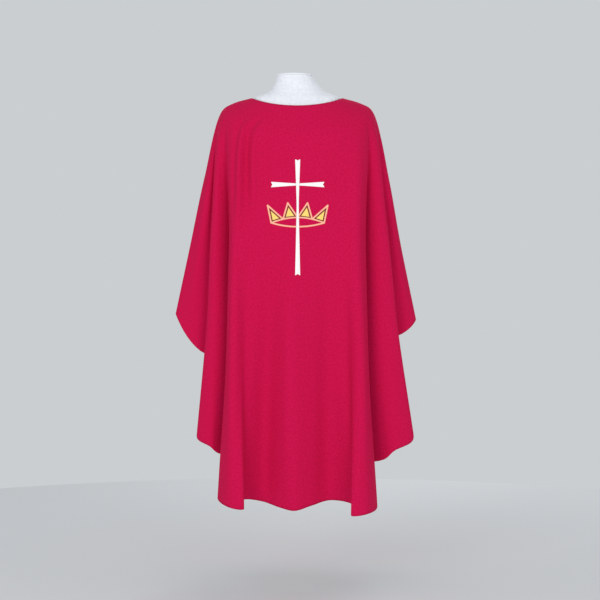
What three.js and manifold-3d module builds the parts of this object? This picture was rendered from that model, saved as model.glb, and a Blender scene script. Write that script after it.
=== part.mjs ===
// A full, unlined chasuble as it is worn: two cloth panels joined along the shoulders, hanging in
// deep side folds from the shoulder line, with an embroidered cross and crown on the chest and a
// white standing collar that lifts out of the neck opening.
// Millimetres, +Z up. The origin is the centre of the neck opening at the height of the shoulder
// line. The embroidered front faces -Y.

import * as THREE from "three";
import { mergeVertices } from "three/addons/utils/BufferGeometryUtils.js";
import Module from "manifold-3d";

const wasm = await Module();
wasm.setup();

// ---- Driving dimensions -------------------------------------------------------------------------

// Overall hang
const LENGTH = 1270; // shoulder line down to the lowest hem
const HALF_SPAN = 375; // centre line out to a wing tip
const HANG_DEPTH = 235; // centre plane forward to the foremost pleat
const BACK_DEPTH_SHARE = 0.92; // the back hangs a little flatter than the front
const BACK_WIDTH_SHARE = 0.96; // and a little narrower, so that its folds stay behind the front's

// Neck opening and shoulders
const NECK_HALF_WIDTH = 141;
const NECK_FRONT = 96; // centre plane to the neckline at the front
const NECK_BACK = 92;
const NECK_FRONT_DIP = 35; // how far the neckline sinks below the shoulder line
const NECK_BACK_DIP = 6;
const SHOULDER_HALF_WIDTH = 234; // where the cloth turns down over the shoulder
const SHOULDER_DROP = 40;
const CHEST_DEPTH = 134; // centre plane to the chest, where the front starts to hang
const CHEST_DROP = 95;
const SHOULDER_ROUNDING = 8; // how full the cloth stands over the shoulder
const CREST_SHARE = 0.62; // how far from neckline to shoulder the cloth is fullest
const NECKLINE_CURVE = 1.5; // how much of the neckline's dip gathers at its centre

// Cloth, facings and tapes
const CLOTH = 1.2;
const FACING = 0.8;
const GAP = 0.3; // clearance kept between pieces that lie on each other
const NECK_FACING_DEPTH = 50;
const HEM_FACING_DEPTH = 30;

// Embroidery
const STITCH = 0.8;
const CROSS_HEIGHT = 350;
const CROSS_SPAN = 160;
const CROSS_TOP = -205;
const CROSS_ARM_LEVEL = -281;
const CROSS_END_HALF_WIDTH = 8.3;
const CROSS_WAIST_HALF_WIDTH = 3.5;
const CROSS_NOTCH = 5;
const CROSS_WAIST_SHARE = 0.39; // how far down the upright is narrowest
const CROSS_CENTRE = 2;
const CROWN_HALF_WIDTH = 91;
const CROWN_BASE_HALF_WIDTH = 80;
const CROWN_PEAK_OFFSET = 30;
const CROWN_VALLEY_OFFSET = 44;
const CROWN_PEAK_LEVEL = -337;
const CROWN_TIP_LEVEL = -344;
const CROWN_CORNER_LEVEL = -397;
const CROWN_RIM_RISE = 16; // upper rim line, from its corners to its middle
const CROWN_RIM_SAG = 12; // lower rim line
const CROWN_LINE = 4.6; // width of the line stitching
const CROWN_FILL_CLEARANCE = 1; // between the lines and the gold fills
const BACKING_MARGIN = 20;

// Standing collar
const COLLAR_WALL = 2.4;
const COLLAR_TOP_HALF_WIDTH = 58;
const COLLAR_TOP_HALF_DEPTH = 52;
const COLLAR_HEIGHT = 66;
const COLLAR_FOOT_HALF_WIDTH = 78;
const COLLAR_FOOT_HALF_DEPTH = 62;
const COLLAR_FOOT_LEVEL = 29;
const COLLAR_FOOT_DIP = 0.3; // how much of the neckline's dip the collar's foot follows
const COLLAR_WAIST_SHARE = 0.62; // how much of the way from foot to top width the waist has narrowed
const COLLAR_WAIST_RISE = 0.45; // how far up the stand its waist is
const COLLAR_WAIST_DIP = 0.1;
const YOKE_FLARE = { out: 24, forward: 10, level: 13, dip: 0.5 }; // from the collar's foot
const YOKE_BRIM = { out: -7, forward: -5, level: 3, dip: 0.9 }; // from the yoke's own edge
const COLLAR_ROLL = 2.6; // radius of the rolled top edge
const COLLAR_LEAN = -7; // how far the stand leans across by its top
const NECK_CLEARANCE = 6; // between the collar's yoke and the neckline, so it lifts out
const YOKE_TUCK = 14; // how far the yoke goes below the neckline

// ---- The drape ----------------------------------------------------------------------------------
// Each fold is a line that runs from the neckline over the shoulder to the hem. `neck` is its angle
// round the neck from the centre front, in degrees. `third` and `low` are where it hangs a third and
// two thirds of the way down and `hem` is where it ends: across and forward in percent of HALF_SPAN
// and HANG_DEPTH, and for the hem how far down in percent of LENGTH.

const SEAM_RIGHT_SIDE = { neck: 90, third: [77, 0], low: [89, 0], hem: [101, 0, 52.8] };
const SEAM_LEFT_SIDE = { neck: 90, third: [76, 0], low: [87, 0], hem: [99, 0, 54.3] };

// On the wearer's right, the viewer's left
const FOLDS_RIGHT_SIDE = [
  { neck: 87, third: [75, 11], low: [84, 12], hem: [92.5, 12, 57.8] }, // wing
  { neck: 84, third: [71, 16], low: [77, 15], hem: [80, 15, 62] }, // wing, towards the body
  { neck: 81, third: [68.3, 15], low: [57, 10], hem: [45, 7.5, 67.5] }, // hidden turn behind the side fold
  { neck: 78, third: [69, 21], low: [71, 19], hem: [75, 18, 77.5] }, // side fold, back edge
  { neck: 74, third: [70, 32], low: [74, 35], hem: [82, 37, 82.8] }, // side fold, outer edge
  { neck: 70, third: [66, 37], low: [68, 42], hem: [70.5, 47, 84.8] }, // side fold, front
  { neck: 66, third: [59, 32], low: [57, 37], hem: [64.5, 42, 86.4] }, // into the deep valley
  { neck: 62, third: [52, 26], low: [42, 20], hem: [36, 18, 89] }, // floor of the deep valley
  { neck: 58, third: [53.5, 37], low: [50, 38], hem: [52, 42, 94] }, // out of the deep valley
  { neck: 53, third: [55.5, 45], low: [58, 51], hem: [64.2, 60, 96.5] }, // front pleat, outer edge
  { neck: 47, third: [52, 61], low: [53, 71], hem: [54.5, 90, 98.2] }, // front pleat
  { neck: 40, third: [46, 64], low: [45, 70], hem: [42.5, 95, 98.6] }, // front pleat, inner edge
  { neck: 33, third: [37, 64], low: [38, 62], hem: [43.5, 74, 96.9] }, // turn behind the pleat
  { neck: 24, third: [26, 64], low: [27, 57], hem: [27.9, 52, 97.8] }, // shallow dip
  { neck: 12, third: [13, 65], low: [13, 63], hem: [14, 65, 98.9] },
];
const FOLD_CENTRE = { neck: 0, third: [0, 67], low: [-1, 69], hem: [-2, 73, 99.5] };
// On the wearer's left, the viewer's right
const FOLDS_LEFT_SIDE = [
  { neck: 87, third: [75, 11], low: [84, 11], hem: [95, 10, 56] },
  { neck: 84, third: [72, 16], low: [79, 15], hem: [86.5, 14, 57.9] },
  { neck: 81, third: [69, 15], low: [58, 10], hem: [46, 7.5, 63] },
  { neck: 78, third: [71, 21], low: [76, 19], hem: [86, 18, 76] },
  { neck: 74, third: [73, 32], low: [82, 36], hem: [95, 38, 83.2] },
  { neck: 70, third: [67, 37], low: [72, 42], hem: [79, 47, 85.8] },
  { neck: 66, third: [60, 33], low: [60, 37], hem: [70.5, 42, 88] },
  { neck: 62, third: [52, 26], low: [42, 20], hem: [36, 18, 90] },
  { neck: 58, third: [54.5, 38], low: [50, 38], hem: [52, 42, 93.5] },
  { neck: 53, third: [56, 46], low: [58.5, 51], hem: [64.7, 62, 98.4] },
  { neck: 47, third: [51, 61], low: [54, 71], hem: [55.5, 95, 99.7] },
  { neck: 40, third: [45, 64], low: [46, 70], hem: [43, 98, 100] },
  { neck: 33, third: [37, 64], low: [39, 62], hem: [45.5, 77, 98.1] },
  { neck: 24, third: [26, 64], low: [27, 57], hem: [26.9, 52, 97.5] },
  { neck: 12, third: [13, 65], low: [12.5, 63], hem: [11.5, 65, 98.5] },
];

// Where the rows of the cloth mesh lie: near rows in millimetres from the neckline, and the rest
// evenly spaced down to the hem facing
const SHOULDER_ROWS = [NECK_FACING_DEPTH, 84, 120, 162, 215];
const HANG_ROWS = 8;
const COLUMNS_PER_FOLD = 2;
const FOLD_SAMPLES = 160;
const LONGEST_MITRE = 2.5;

const { degToRad: radians, lerp } = THREE.MathUtils;

/** The line of one fold from neckline to hem. `side` is -1 on the wearer's right, +1 on the left. */
function foldLine(fold, side, back) {
  const across = Math.sin(radians(fold.neck));
  const forward = Math.cos(radians(fold.neck));
  const face = back ? BACK_DEPTH_SHARE : -1;
  const neckDepth = back ? NECK_BACK : -NECK_FRONT;
  const neckDip = back ? NECK_BACK_DIP : NECK_FRONT_DIP;
  const neck = new THREE.Vector3(
    side * NECK_HALF_WIDTH * across,
    neckDepth * forward,
    -neckDip * forward ** NECKLINE_CURVE,
  );
  const shoulder = new THREE.Vector3(
    side * SHOULDER_HALF_WIDTH * across ** 0.75,
    face * CHEST_DEPTH * forward,
    -SHOULDER_DROP - CHEST_DROP * forward ** 1.3,
  );
  const crest = neck.clone().lerp(shoulder, CREST_SHARE);
  crest.z += SHOULDER_ROUNDING * (1 + across * across) / 2;
  const hemLevel = -LENGTH * fold.hem[2] / 100;
  const spread = back ? BACK_WIDTH_SHARE : 1;
  const place = ([x, y], share) => new THREE.Vector3(
    side * spread * HALF_SPAN * x / 100,
    face * HANG_DEPTH * y / 100,
    lerp(shoulder.z, hemLevel, share),
  );
  const hanging = [place(fold.third, 1 / 3), place(fold.low, 2 / 3), place(fold.hem, 1)];
  return new THREE.CatmullRomCurve3([neck, crest, shoulder, ...hanging], false, "centripetal");
}

/** Points down one fold line, at the distances where the rows of the mesh lie. */
function foldRows(line) {
  line.arcLengthDivisions = FOLD_SAMPLES;
  const length = line.getLength();
  const last = SHOULDER_ROWS[SHOULDER_ROWS.length - 1];
  const hemRow = length - HEM_FACING_DEPTH;
  const distances = [0, ...SHOULDER_ROWS];
  for (let row = 1; row <= HANG_ROWS; row += 1) {
    distances.push(lerp(last, hemRow, row / HANG_ROWS));
  }
  distances.push(length);
  return distances.map((distance) => line.getPointAt(distance / length));
}

/** All folds in a ring: right seam, across the front to the left seam, and back across the back. */
function foldRing() {
  const front = [
    foldLine(SEAM_RIGHT_SIDE, -1, false),
    ...FOLDS_RIGHT_SIDE.map((fold) => foldLine(fold, -1, false)),
    foldLine(FOLD_CENTRE, 1, false),
    ...FOLDS_LEFT_SIDE.toReversed().map((fold) => foldLine(fold, 1, false)),
    foldLine(SEAM_LEFT_SIDE, 1, false),
  ];
  const back = [
    ...FOLDS_LEFT_SIDE.map((fold) => foldLine(fold, 1, true)),
    foldLine(FOLD_CENTRE, -1, true),
    ...FOLDS_RIGHT_SIDE.toReversed().map((fold) => foldLine(fold, -1, true)),
  ];
  return [...front, ...back];
}

/** The unit vector from one point towards another, square to the cloth's line `down`. */
function levelDirection(from, to, down) {
  return to.clone().sub(from).projectOnPlane(down).normalize();
}

/** The outer surface of the cloth as a grid: grid[row][column], with a mitred normal for each point. */
function drapeGrid() {
  const folds = foldRing().map(foldRows);
  const columns = folds.length * COLUMNS_PER_FOLD;
  const points = folds[0].map((_, row) => {
    const ring = new THREE.CatmullRomCurve3(folds.map((fold) => fold[row]), true, "centripetal");
    return Array.from({ length: columns }, (_unused, column) => ring.getPoint(column / columns));
  });
  const lastRow = points.length - 1;
  const normals = points.map((line, row) => line.map((point, column) => {
    const east = line[(column + 1) % columns];
    const west = line[(column + columns - 1) % columns];
    const above = points[Math.max(row - 1, 0)][column];
    const below = points[Math.min(row + 1, lastRow)][column];
    const down = below.clone().sub(above).normalize();
    // The mean of the level directions on both sides, so that a sharp fold gets its bisector
    const along = levelDirection(west, point, down).add(levelDirection(point, east, down)).divideScalar(2);
    // The sharper the fold, the longer its mitred normal, so that the cloth is evenly thick round it
    const mitre = 1 / Math.max(along.length(), 1 / LONGEST_MITRE);
    return down.cross(along).setLength(mitre);
  }));
  return { points, normals, columns, rows: points.length };
}

const drape = drapeGrid();
const SEAM_COLUMNS = [0, drape.columns / 2];
const LAST_ROW = drape.rows - 1;

// ---- Builders -----------------------------------------------------------------------------------

/** A closed, indexed geometry from points and triangles. */
function geometryFrom(points, triangles) {
  const geometry = new THREE.BufferGeometry();
  geometry.setAttribute("position", new THREE.Float32BufferAttribute(points.flatMap((p) => p.toArray()), 3));
  geometry.setIndex(triangles);
  geometry.computeVertexNormals();
  return geometry;
}

/** Pull the outer lines of a grid inwards by `trim`, along the grid's own edges. */
function trimmed(lines, trim) {
  const lastRow = lines.length - 1;
  const lastColumn = lines[0].length - 1;
  const towards = (from, to) => from.clone().add(to.clone().sub(from).setLength(trim));
  return lines.map((line, row) => line.map((point, column) => {
    let moved = point;
    if (column === 0 || column === lastColumn) {
      moved = towards(moved, line[column === 0 ? 1 : lastColumn - 1]);
    }
    if (row === 0 || row === lastRow) {
      moved = towards(moved, lines[row === 0 ? 1 : lastRow - 1][column]);
    }
    return moved;
  }));
}

/**
 * A closed solid that follows the cloth, from `outer` to `inner` millimetres along its normals,
 * over the rows and columns given. Its own edges are drawn in by `trim`.
 */
function clothSolid({ columns: [firstColumn, lastColumn], rows: [firstRow, lastRow], outer, inner, trim }) {
  const wide = lastColumn - firstColumn + 1;
  const high = lastRow - firstRow + 1;
  const pick = (grid) => Array.from({ length: high }, (_, row) => Array.from(
    { length: wide },
    (_unused, column) => grid[firstRow + row][(firstColumn + column + drape.columns) % drape.columns],
  ));
  const middle = trimmed(pick(drape.points), trim);
  const normals = pick(drape.normals);
  const layer = (offset) => middle.flatMap((line, row) => line.map(
    (point, column) => point.clone().addScaledVector(normals[row][column], offset),
  ));
  const points = [...layer(outer), ...layer(inner)];
  const at = (row, column, side) => side * wide * high + row * wide + column;
  const triangles = [];
  const quad = (a, b, c, d) => triangles.push(a, b, c, a, c, d);
  for (let row = 0; row < high - 1; row += 1) {
    for (let column = 0; column < wide - 1; column += 1) {
      const corners = [[row, column], [row + 1, column], [row + 1, column + 1], [row, column + 1]];
      const [a, b, c, d] = corners.map(([r, k]) => at(r, k, 0));
      const [e, f, g, h] = corners.map(([r, k]) => at(r, k, 1));
      quad(a, b, c, d);
      // The inner face keeps the outer face's diagonal, so the wall is even
      triangles.push(e, g, f, e, h, g);
    }
  }
  for (let column = 0; column < wide - 1; column += 1) {
    quad(at(0, column, 0), at(0, column + 1, 0), at(0, column + 1, 1), at(0, column, 1));
    const last = high - 1;
    quad(at(last, column + 1, 0), at(last, column, 0), at(last, column, 1), at(last, column + 1, 1));
  }
  for (let row = 0; row < high - 1; row += 1) {
    quad(at(row + 1, 0, 0), at(row, 0, 0), at(row, 0, 1), at(row + 1, 0, 1));
    quad(at(row, wide - 1, 0), at(row + 1, wide - 1, 0), at(row + 1, wide - 1, 1), at(row, wide - 1, 1));
  }
  return geometryFrom(points, triangles);
}

/** A manifold-3d solid from a closed geometry. */
function solidFrom(geometry) {
  const bare = geometry.clone();
  bare.deleteAttribute("normal");
  bare.deleteAttribute("uv");
  const merged = mergeVertices(bare, 1e-4);
  return new wasm.Manifold(new wasm.Mesh({
    numProp: 3,
    vertProperties: new Float32Array(merged.attributes.position.array),
    triVerts: new Uint32Array(merged.index.array),
  }));
}

/** A geometry from a manifold-3d solid. */
function geometryFromSolid(solid) {
  const mesh = solid.getMesh();
  const geometry = new THREE.BufferGeometry();
  geometry.setAttribute("position", new THREE.Float32BufferAttribute(mesh.vertProperties, 3));
  geometry.setIndex(Array.from(mesh.triVerts));
  geometry.computeVertexNormals();
  return geometry;
}

const CHEST = {
  columns: [20, 44],
  rows: [1, 9],
  trim: 0,
};
const stitchLayer = solidFrom(clothSolid({ ...CHEST, outer: GAP + STITCH, inner: GAP }));
const backingLayer = solidFrom(clothSolid({ ...CHEST, outer: -CLOTH - GAP, inner: -CLOTH - GAP - FACING }));

/** Cut flat outlines, across and up, out of a layer that follows the chest, joined where they meet. */
function cutFromLayer(layer, ...outlines) {
  const depth = 2 * HANG_DEPTH;
  const prisms = outlines.map((outline) => {
    const prism = new THREE.ExtrudeGeometry(new THREE.Shape(outline), { depth, bevelEnabled: false });
    prism.rotateX(Math.PI / 2);
    return solidFrom(prism);
  });
  const joined = prisms.reduce((sum, prism) => sum.add(prism));
  return geometryFromSolid(joined.intersect(layer));
}

/** The outline of a stitched line of even width along points, with mitred corners. */
function strokeOutline(points, width) {
  const side = (sign) => points.map((point, index) => {
    const before = points[Math.max(index - 1, 0)];
    const after = points[Math.min(index + 1, points.length - 1)];
    const into = point.clone().sub(before);
    const out = after.clone().sub(point);
    const first = (into.length() > 0 ? into : out).clone().normalize();
    const second = (out.length() > 0 ? out : into).clone().normalize();
    const bisector = first.clone().add(second).normalize();
    const reach = width / 2 / Math.max(bisector.dot(first), 0.35);
    return new THREE.Vector2(-bisector.y, bisector.x).multiplyScalar(sign * reach).add(point);
  });
  return [...side(1), ...side(-1).toReversed()];
}

/** A triangle drawn in on all three sides by the same distance. */
function insetTriangle(corners, distance) {
  const lengths = corners.map((_, i) => corners[(i + 1) % 3].distanceTo(corners[(i + 2) % 3]));
  const perimeter = lengths[0] + lengths[1] + lengths[2];
  const centre = new THREE.Vector2();
  corners.forEach((corner, i) => centre.addScaledVector(corner, lengths[i] / perimeter));
  const area = Math.abs(THREE.ShapeUtils.area(corners));
  const share = 1 - distance * perimeter / (2 * area);
  return corners.map((corner) => centre.clone().lerp(corner, share));
}

/**
 * A closed oval ring. `profile` goes once round the wall's section; each entry is half width, half
 * depth, level and how much of the neckline's dip it follows.
 */
function ovalRing(profile, segments) {
  const points = [];
  for (let step = 0; step < segments; step += 1) {
    const angle = 2 * Math.PI * step / segments;
    const forward = Math.cos(angle);
    const dip = (forward > 0 ? NECK_FRONT_DIP : NECK_BACK_DIP) * Math.abs(forward) ** NECKLINE_CURVE;
    profile.forEach(([halfWidth, halfDepth, level, follow]) => {
      const lean = COLLAR_LEAN * Math.max(level - COLLAR_FOOT_LEVEL, 0) / (COLLAR_HEIGHT - COLLAR_FOOT_LEVEL);
      const x = lean + halfWidth * Math.sin(angle);
      points.push(new THREE.Vector3(x, -halfDepth * forward, level - follow * dip));
    });
  }
  const count = profile.length;
  const triangles = [];
  for (let step = 0; step < segments; step += 1) {
    const here = step * count;
    const next = (step + 1) % segments * count;
    for (let k = 0; k < count; k += 1) {
      const m = (k + 1) % count;
      triangles.push(here + k, next + k, next + m, here + k, next + m, here + m);
    }
  }
  return geometryFrom(points, triangles);
}

// ---- Materials ----------------------------------------------------------------------------------

const crimsonCloth = { color: 0xc41346, roughness: 0.9, metalness: 0 };
const crimsonFacing = { color: 0xae123f, roughness: 0.9, metalness: 0 };
const whiteSatin = { color: 0xf3f0ee, roughness: 0.5, metalness: 0 };
const goldSatin = { color: 0xf0cf62, roughness: 0.45, metalness: 0 };
const peachGold = { color: 0xeeb27e, roughness: 0.45, metalness: 0 };
const whiteLinen = { color: 0xeff0f4, roughness: 0.85, metalness: 0 };

const chasuble = new THREE.Group();
const collar = new THREE.Group();
chasuble.add(collar);

/** Put a named mesh of a geometry into a group. */
function addPiece(group, name, geometry, finish) {
  const mesh = new THREE.Mesh(geometry, new THREE.MeshStandardMaterial(finish));
  mesh.name = name;
  group.add(mesh);
  return mesh;
}

// ---- Cloth panels, facings and tapes ------------------------------------------------------------

const [RIGHT_SEAM, LEFT_SEAM] = SEAM_COLUMNS;
const PANELS = [
  { name: "front", columns: [RIGHT_SEAM, LEFT_SEAM] },
  { name: "back", columns: [LEFT_SEAM, drape.columns] },
];
const panelLayer = { outer: 0, inner: -CLOTH, trim: GAP };
const facingLayer = { outer: -CLOTH - GAP, inner: -CLOTH - GAP - FACING, trim: GAP };

PANELS.forEach(({ name, columns }) => {
  const panel = clothSolid({ columns, rows: [0, LAST_ROW], ...panelLayer });
  addPiece(chasuble, `${name}_panel`, panel, crimsonCloth);
  const neckFacing = clothSolid({ columns, rows: [0, 1], ...facingLayer });
  addPiece(chasuble, `${name}_neck_facing`, neckFacing, crimsonFacing);
  const hemFacing = clothSolid({ columns, rows: [LAST_ROW - 1, LAST_ROW], ...facingLayer });
  addPiece(chasuble, `${name}_hem_facing`, hemFacing, crimsonFacing);
});

// A stay tape under each shoulder seam, from the neck facing to the hem facing
const TAPES = [
  { name: "right_shoulder_tape", seam: RIGHT_SEAM },
  { name: "left_shoulder_tape", seam: LEFT_SEAM },
];
TAPES.forEach(({ name, seam }) => {
  const tape = clothSolid({ columns: [seam - 1, seam + 1], rows: [1, LAST_ROW - 1], ...facingLayer });
  addPiece(chasuble, name, tape, crimsonFacing);
});

// ---- Embroidered cross --------------------------------------------------------------------------

const CROSS_BOTTOM = CROSS_TOP - CROSS_HEIGHT;
const CROSS_NARROWEST = lerp(CROSS_TOP, CROSS_BOTTOM, CROSS_WAIST_SHARE);

/** Half the width of a cross limb, `share` of the way from its waist to its flared end. */
function limbHalfWidth(share) {
  return lerp(CROSS_WAIST_HALF_WIDTH, CROSS_END_HALF_WIDTH, share ** 1.15);
}

/** Half the width of the upright at a level. */
function uprightHalfWidth(level) {
  const end = level > CROSS_NARROWEST ? CROSS_TOP : CROSS_BOTTOM;
  return limbHalfWidth((level - CROSS_NARROWEST) / (end - CROSS_NARROWEST));
}

const LIMB_STEPS = 5;
const uprightLevels = [];
for (let step = 0; step <= LIMB_STEPS; step += 1) {
  uprightLevels.push(lerp(CROSS_TOP, CROSS_NARROWEST, step / LIMB_STEPS));
}
for (let step = 1; step <= LIMB_STEPS; step += 1) {
  uprightLevels.push(lerp(CROSS_NARROWEST, CROSS_BOTTOM, step / LIMB_STEPS));
}
const uprightSide = (sign) => uprightLevels.map(
  (level) => new THREE.Vector2(CROSS_CENTRE + sign * uprightHalfWidth(level), level),
);
const uprightOutline = [
  ...uprightSide(-1),
  new THREE.Vector2(CROSS_CENTRE, CROSS_BOTTOM + CROSS_NOTCH),
  ...uprightSide(1).toReversed(),
  new THREE.Vector2(CROSS_CENTRE, CROSS_TOP - CROSS_NOTCH),
];
addPiece(chasuble, "cross_upright", cutFromLayer(stitchLayer, uprightOutline), whiteSatin);

/** The outline of one arm of the cross, from beside the upright to its notched end. */
function armOutline(side) {
  const start = uprightHalfWidth(CROSS_ARM_LEVEL) + 2 * GAP;
  const end = CROSS_SPAN / 2;
  const edge = (sign) => Array.from({ length: LIMB_STEPS + 1 }, (_, step) => {
    const share = step / LIMB_STEPS;
    const across = CROSS_CENTRE + side * lerp(start, end, share);
    return new THREE.Vector2(across, CROSS_ARM_LEVEL + sign * limbHalfWidth(share));
  });
  const notch = new THREE.Vector2(CROSS_CENTRE + side * (end - CROSS_NOTCH), CROSS_ARM_LEVEL);
  return [...edge(-1), notch, ...edge(1).toReversed()];
}

// ---- Embroidered crown --------------------------------------------------------------------------

/** The level of a rim line at a distance from the crown's centre. */
function rimLevel(offset, bulge) {
  return CROWN_CORNER_LEVEL + bulge * (1 - (offset / CROWN_BASE_HALF_WIDTH) ** 2);
}

/**
 * The points of one side of the crown, from its lower corner to its centre. The valleys between
 * the crown's points stand on the upper rim line.
 */
function crownPoints(side) {
  return [
    [CROWN_BASE_HALF_WIDTH, CROWN_CORNER_LEVEL],
    [CROWN_HALF_WIDTH, CROWN_TIP_LEVEL],
    [CROWN_VALLEY_OFFSET, rimLevel(CROWN_VALLEY_OFFSET, CROWN_RIM_RISE)],
    [CROWN_PEAK_OFFSET, CROWN_PEAK_LEVEL],
    [0, rimLevel(0, CROWN_RIM_RISE)],
  ].map(([offset, level]) => new THREE.Vector2(CROSS_CENTRE + side * offset, level));
}

/** Points of a rim line from the crown's corner to its centre. */
function rimPoints(side, bulge) {
  const steps = 6;
  return Array.from({ length: steps + 1 }, (_, step) => {
    const offset = lerp(CROWN_BASE_HALF_WIDTH, 0, step / steps);
    return new THREE.Vector2(CROSS_CENTRE + side * offset, rimLevel(offset, bulge));
  });
}

/** The corners of a gold fill, with its base raised to clear the curve of the rim line below it. */
function fillCorners(base, point, otherBase) {
  const bulge = CROWN_RIM_RISE * ((base.x - otherBase.x) / CROWN_BASE_HALF_WIDTH) ** 2 / 4;
  const raised = (corner) => new THREE.Vector2(corner.x, corner.y + bulge);
  return [raised(base), point, raised(otherBase)];
}

/** The part of a line's points that stops `clearance` short of the upright, measured along it. */
function stopBesideUpright(points, clearance) {
  const last = points[points.length - 1];
  const before = points[points.length - 2];
  const halfWidth = uprightHalfWidth(last.y) + clearance;
  const share = (Math.abs(before.x - CROSS_CENTRE) - halfWidth) / Math.abs(before.x - last.x);
  return [...points.slice(0, -1), before.clone().lerp(last, share)];
}

const SIDES = [{ name: "right", side: -1 }, { name: "left", side: 1 }];
const uprightClearance = CROWN_LINE / 2;
SIDES.forEach(({ name, side }) => {
  addPiece(chasuble, `cross_arm_${name}`, cutFromLayer(stitchLayer, armOutline(side)), whiteSatin);

  const crown = crownPoints(side);
  const [corner, tip, valley, peak, middle] = crown;
  // The zigzag and the two rim lines are one run of stitching, joined where they meet
  const runs = [crown, rimPoints(side, CROWN_RIM_RISE), rimPoints(side, -CROWN_RIM_SAG)];
  const outlines = runs.map((run) => strokeOutline(stopBesideUpright(run, uprightClearance), CROWN_LINE));
  addPiece(chasuble, `crown_outline_${name}`, cutFromLayer(stitchLayer, ...outlines), peachGold);

  const drawIn = CROWN_LINE / 2 + CROWN_FILL_CLEARANCE;
  const sideFill = insetTriangle(fillCorners(corner, tip, valley), drawIn);
  addPiece(chasuble, `crown_side_point_${name}`, cutFromLayer(stitchLayer, sideFill), goldSatin);
  const middleFill = insetTriangle(fillCorners(valley, peak, middle), drawIn);
  addPiece(chasuble, `crown_middle_point_${name}`, cutFromLayer(stitchLayer, middleFill), goldSatin);
});

// A rectangle of backing behind the whole motif, inside the front panel
const backingHalfWidth = Math.max(CROWN_HALF_WIDTH, CROSS_SPAN / 2) + BACKING_MARGIN;
const backingTop = CROSS_TOP + BACKING_MARGIN;
const backingBottom = CROSS_BOTTOM - BACKING_MARGIN;
const backingOutline = [
  new THREE.Vector2(CROSS_CENTRE - backingHalfWidth, backingBottom),
  new THREE.Vector2(CROSS_CENTRE + backingHalfWidth, backingBottom),
  new THREE.Vector2(CROSS_CENTRE + backingHalfWidth, backingTop),
  new THREE.Vector2(CROSS_CENTRE - backingHalfWidth, backingTop),
];
addPiece(chasuble, "embroidery_backing", cutFromLayer(backingLayer, backingOutline), whiteLinen);

// ---- Standing collar ----------------------------------------------------------------------------

const COLLAR_SEGMENTS = 32;

/** A closed wall section from the profile of its outside, top to bottom. */
function walledProfile(outside) {
  const inside = outside.map(([halfWidth, halfDepth, level, dip], index) => {
    const atEnd = index === 0 || index === outside.length - 1;
    // A sloping stretch needs a deeper step inwards to keep its wall
    const step = atEnd ? COLLAR_WALL : COLLAR_WALL * 1.3;
    const sink = atEnd ? 0 : slopeSink(outside[index - 1], outside[index + 1]);
    return [halfWidth - step, halfDepth - step, level - sink, dip];
  });
  return [...inside, ...outside.toReversed()];
}

/** How far the inside of a wall lies below its outside, from the slope between two profile points. */
function slopeSink([widthAbove, , levelAbove], [widthBelow, , levelBelow]) {
  const out = Math.max(widthBelow - widthAbove, 0);
  return COLLAR_WALL * out / Math.hypot(out, levelAbove - levelBelow);
}

const collarWaistWidth = lerp(COLLAR_FOOT_HALF_WIDTH, COLLAR_TOP_HALF_WIDTH, COLLAR_WAIST_SHARE);
const collarWaistDepth = lerp(COLLAR_FOOT_HALF_DEPTH, COLLAR_TOP_HALF_DEPTH, COLLAR_WAIST_SHARE);
const collarWaistLevel = lerp(COLLAR_FOOT_LEVEL, COLLAR_HEIGHT, COLLAR_WAIST_RISE);
const standProfile = walledProfile([
  [COLLAR_TOP_HALF_WIDTH, COLLAR_TOP_HALF_DEPTH, COLLAR_HEIGHT, 0],
  [collarWaistWidth, collarWaistDepth, collarWaistLevel, COLLAR_WAIST_DIP],
  [COLLAR_FOOT_HALF_WIDTH, COLLAR_FOOT_HALF_DEPTH, COLLAR_FOOT_LEVEL, COLLAR_FOOT_DIP],
]);
addPiece(collar, "collar_stand", ovalRing(standProfile, COLLAR_SEGMENTS), whiteLinen);

// The yoke flares from under the stand to just inside the neckline, and tucks below it
const yokeHalfWidth = NECK_HALF_WIDTH - NECK_CLEARANCE;
const yokeHalfDepth = Math.min(NECK_FRONT, NECK_BACK) - NECK_CLEARANCE;
const flareWidth = COLLAR_FOOT_HALF_WIDTH + YOKE_FLARE.out;
const flareDepth = COLLAR_FOOT_HALF_DEPTH + YOKE_FLARE.forward;
const yokeProfile = walledProfile([
  [COLLAR_FOOT_HALF_WIDTH, COLLAR_FOOT_HALF_DEPTH, COLLAR_FOOT_LEVEL - GAP, COLLAR_FOOT_DIP],
  [flareWidth, flareDepth, YOKE_FLARE.level, YOKE_FLARE.dip],
  [yokeHalfWidth + YOKE_BRIM.out, yokeHalfDepth + YOKE_BRIM.forward, YOKE_BRIM.level, YOKE_BRIM.dip],
  [yokeHalfWidth, yokeHalfDepth, -YOKE_TUCK, 1],
]);
addPiece(collar, "collar_yoke", ovalRing(yokeProfile, COLLAR_SEGMENTS), whiteLinen);

// A soft roll that finishes the top edge
const ROLL_SIDES = 6;
const rollProfile = Array.from({ length: ROLL_SIDES }, (_, step) => {
  const angle = 2 * Math.PI * step / ROLL_SIDES;
  const out = COLLAR_ROLL * Math.cos(angle) - COLLAR_WALL / 2;
  const up = COLLAR_HEIGHT + GAP + COLLAR_ROLL + COLLAR_ROLL * Math.sin(angle);
  return [COLLAR_TOP_HALF_WIDTH + out, COLLAR_TOP_HALF_DEPTH + out, up, 0];
});
addPiece(collar, "collar_edge", ovalRing(rollProfile, COLLAR_SEGMENTS), whiteLinen);

export default chasuble;
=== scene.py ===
import logging
import math
from collections.abc import Callable, Sequence
from dataclasses import dataclass, field
from enum import Enum

import bpy
import numpy as np
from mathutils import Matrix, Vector, noise
from mathutils.bvhtree import BVHTree


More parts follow.
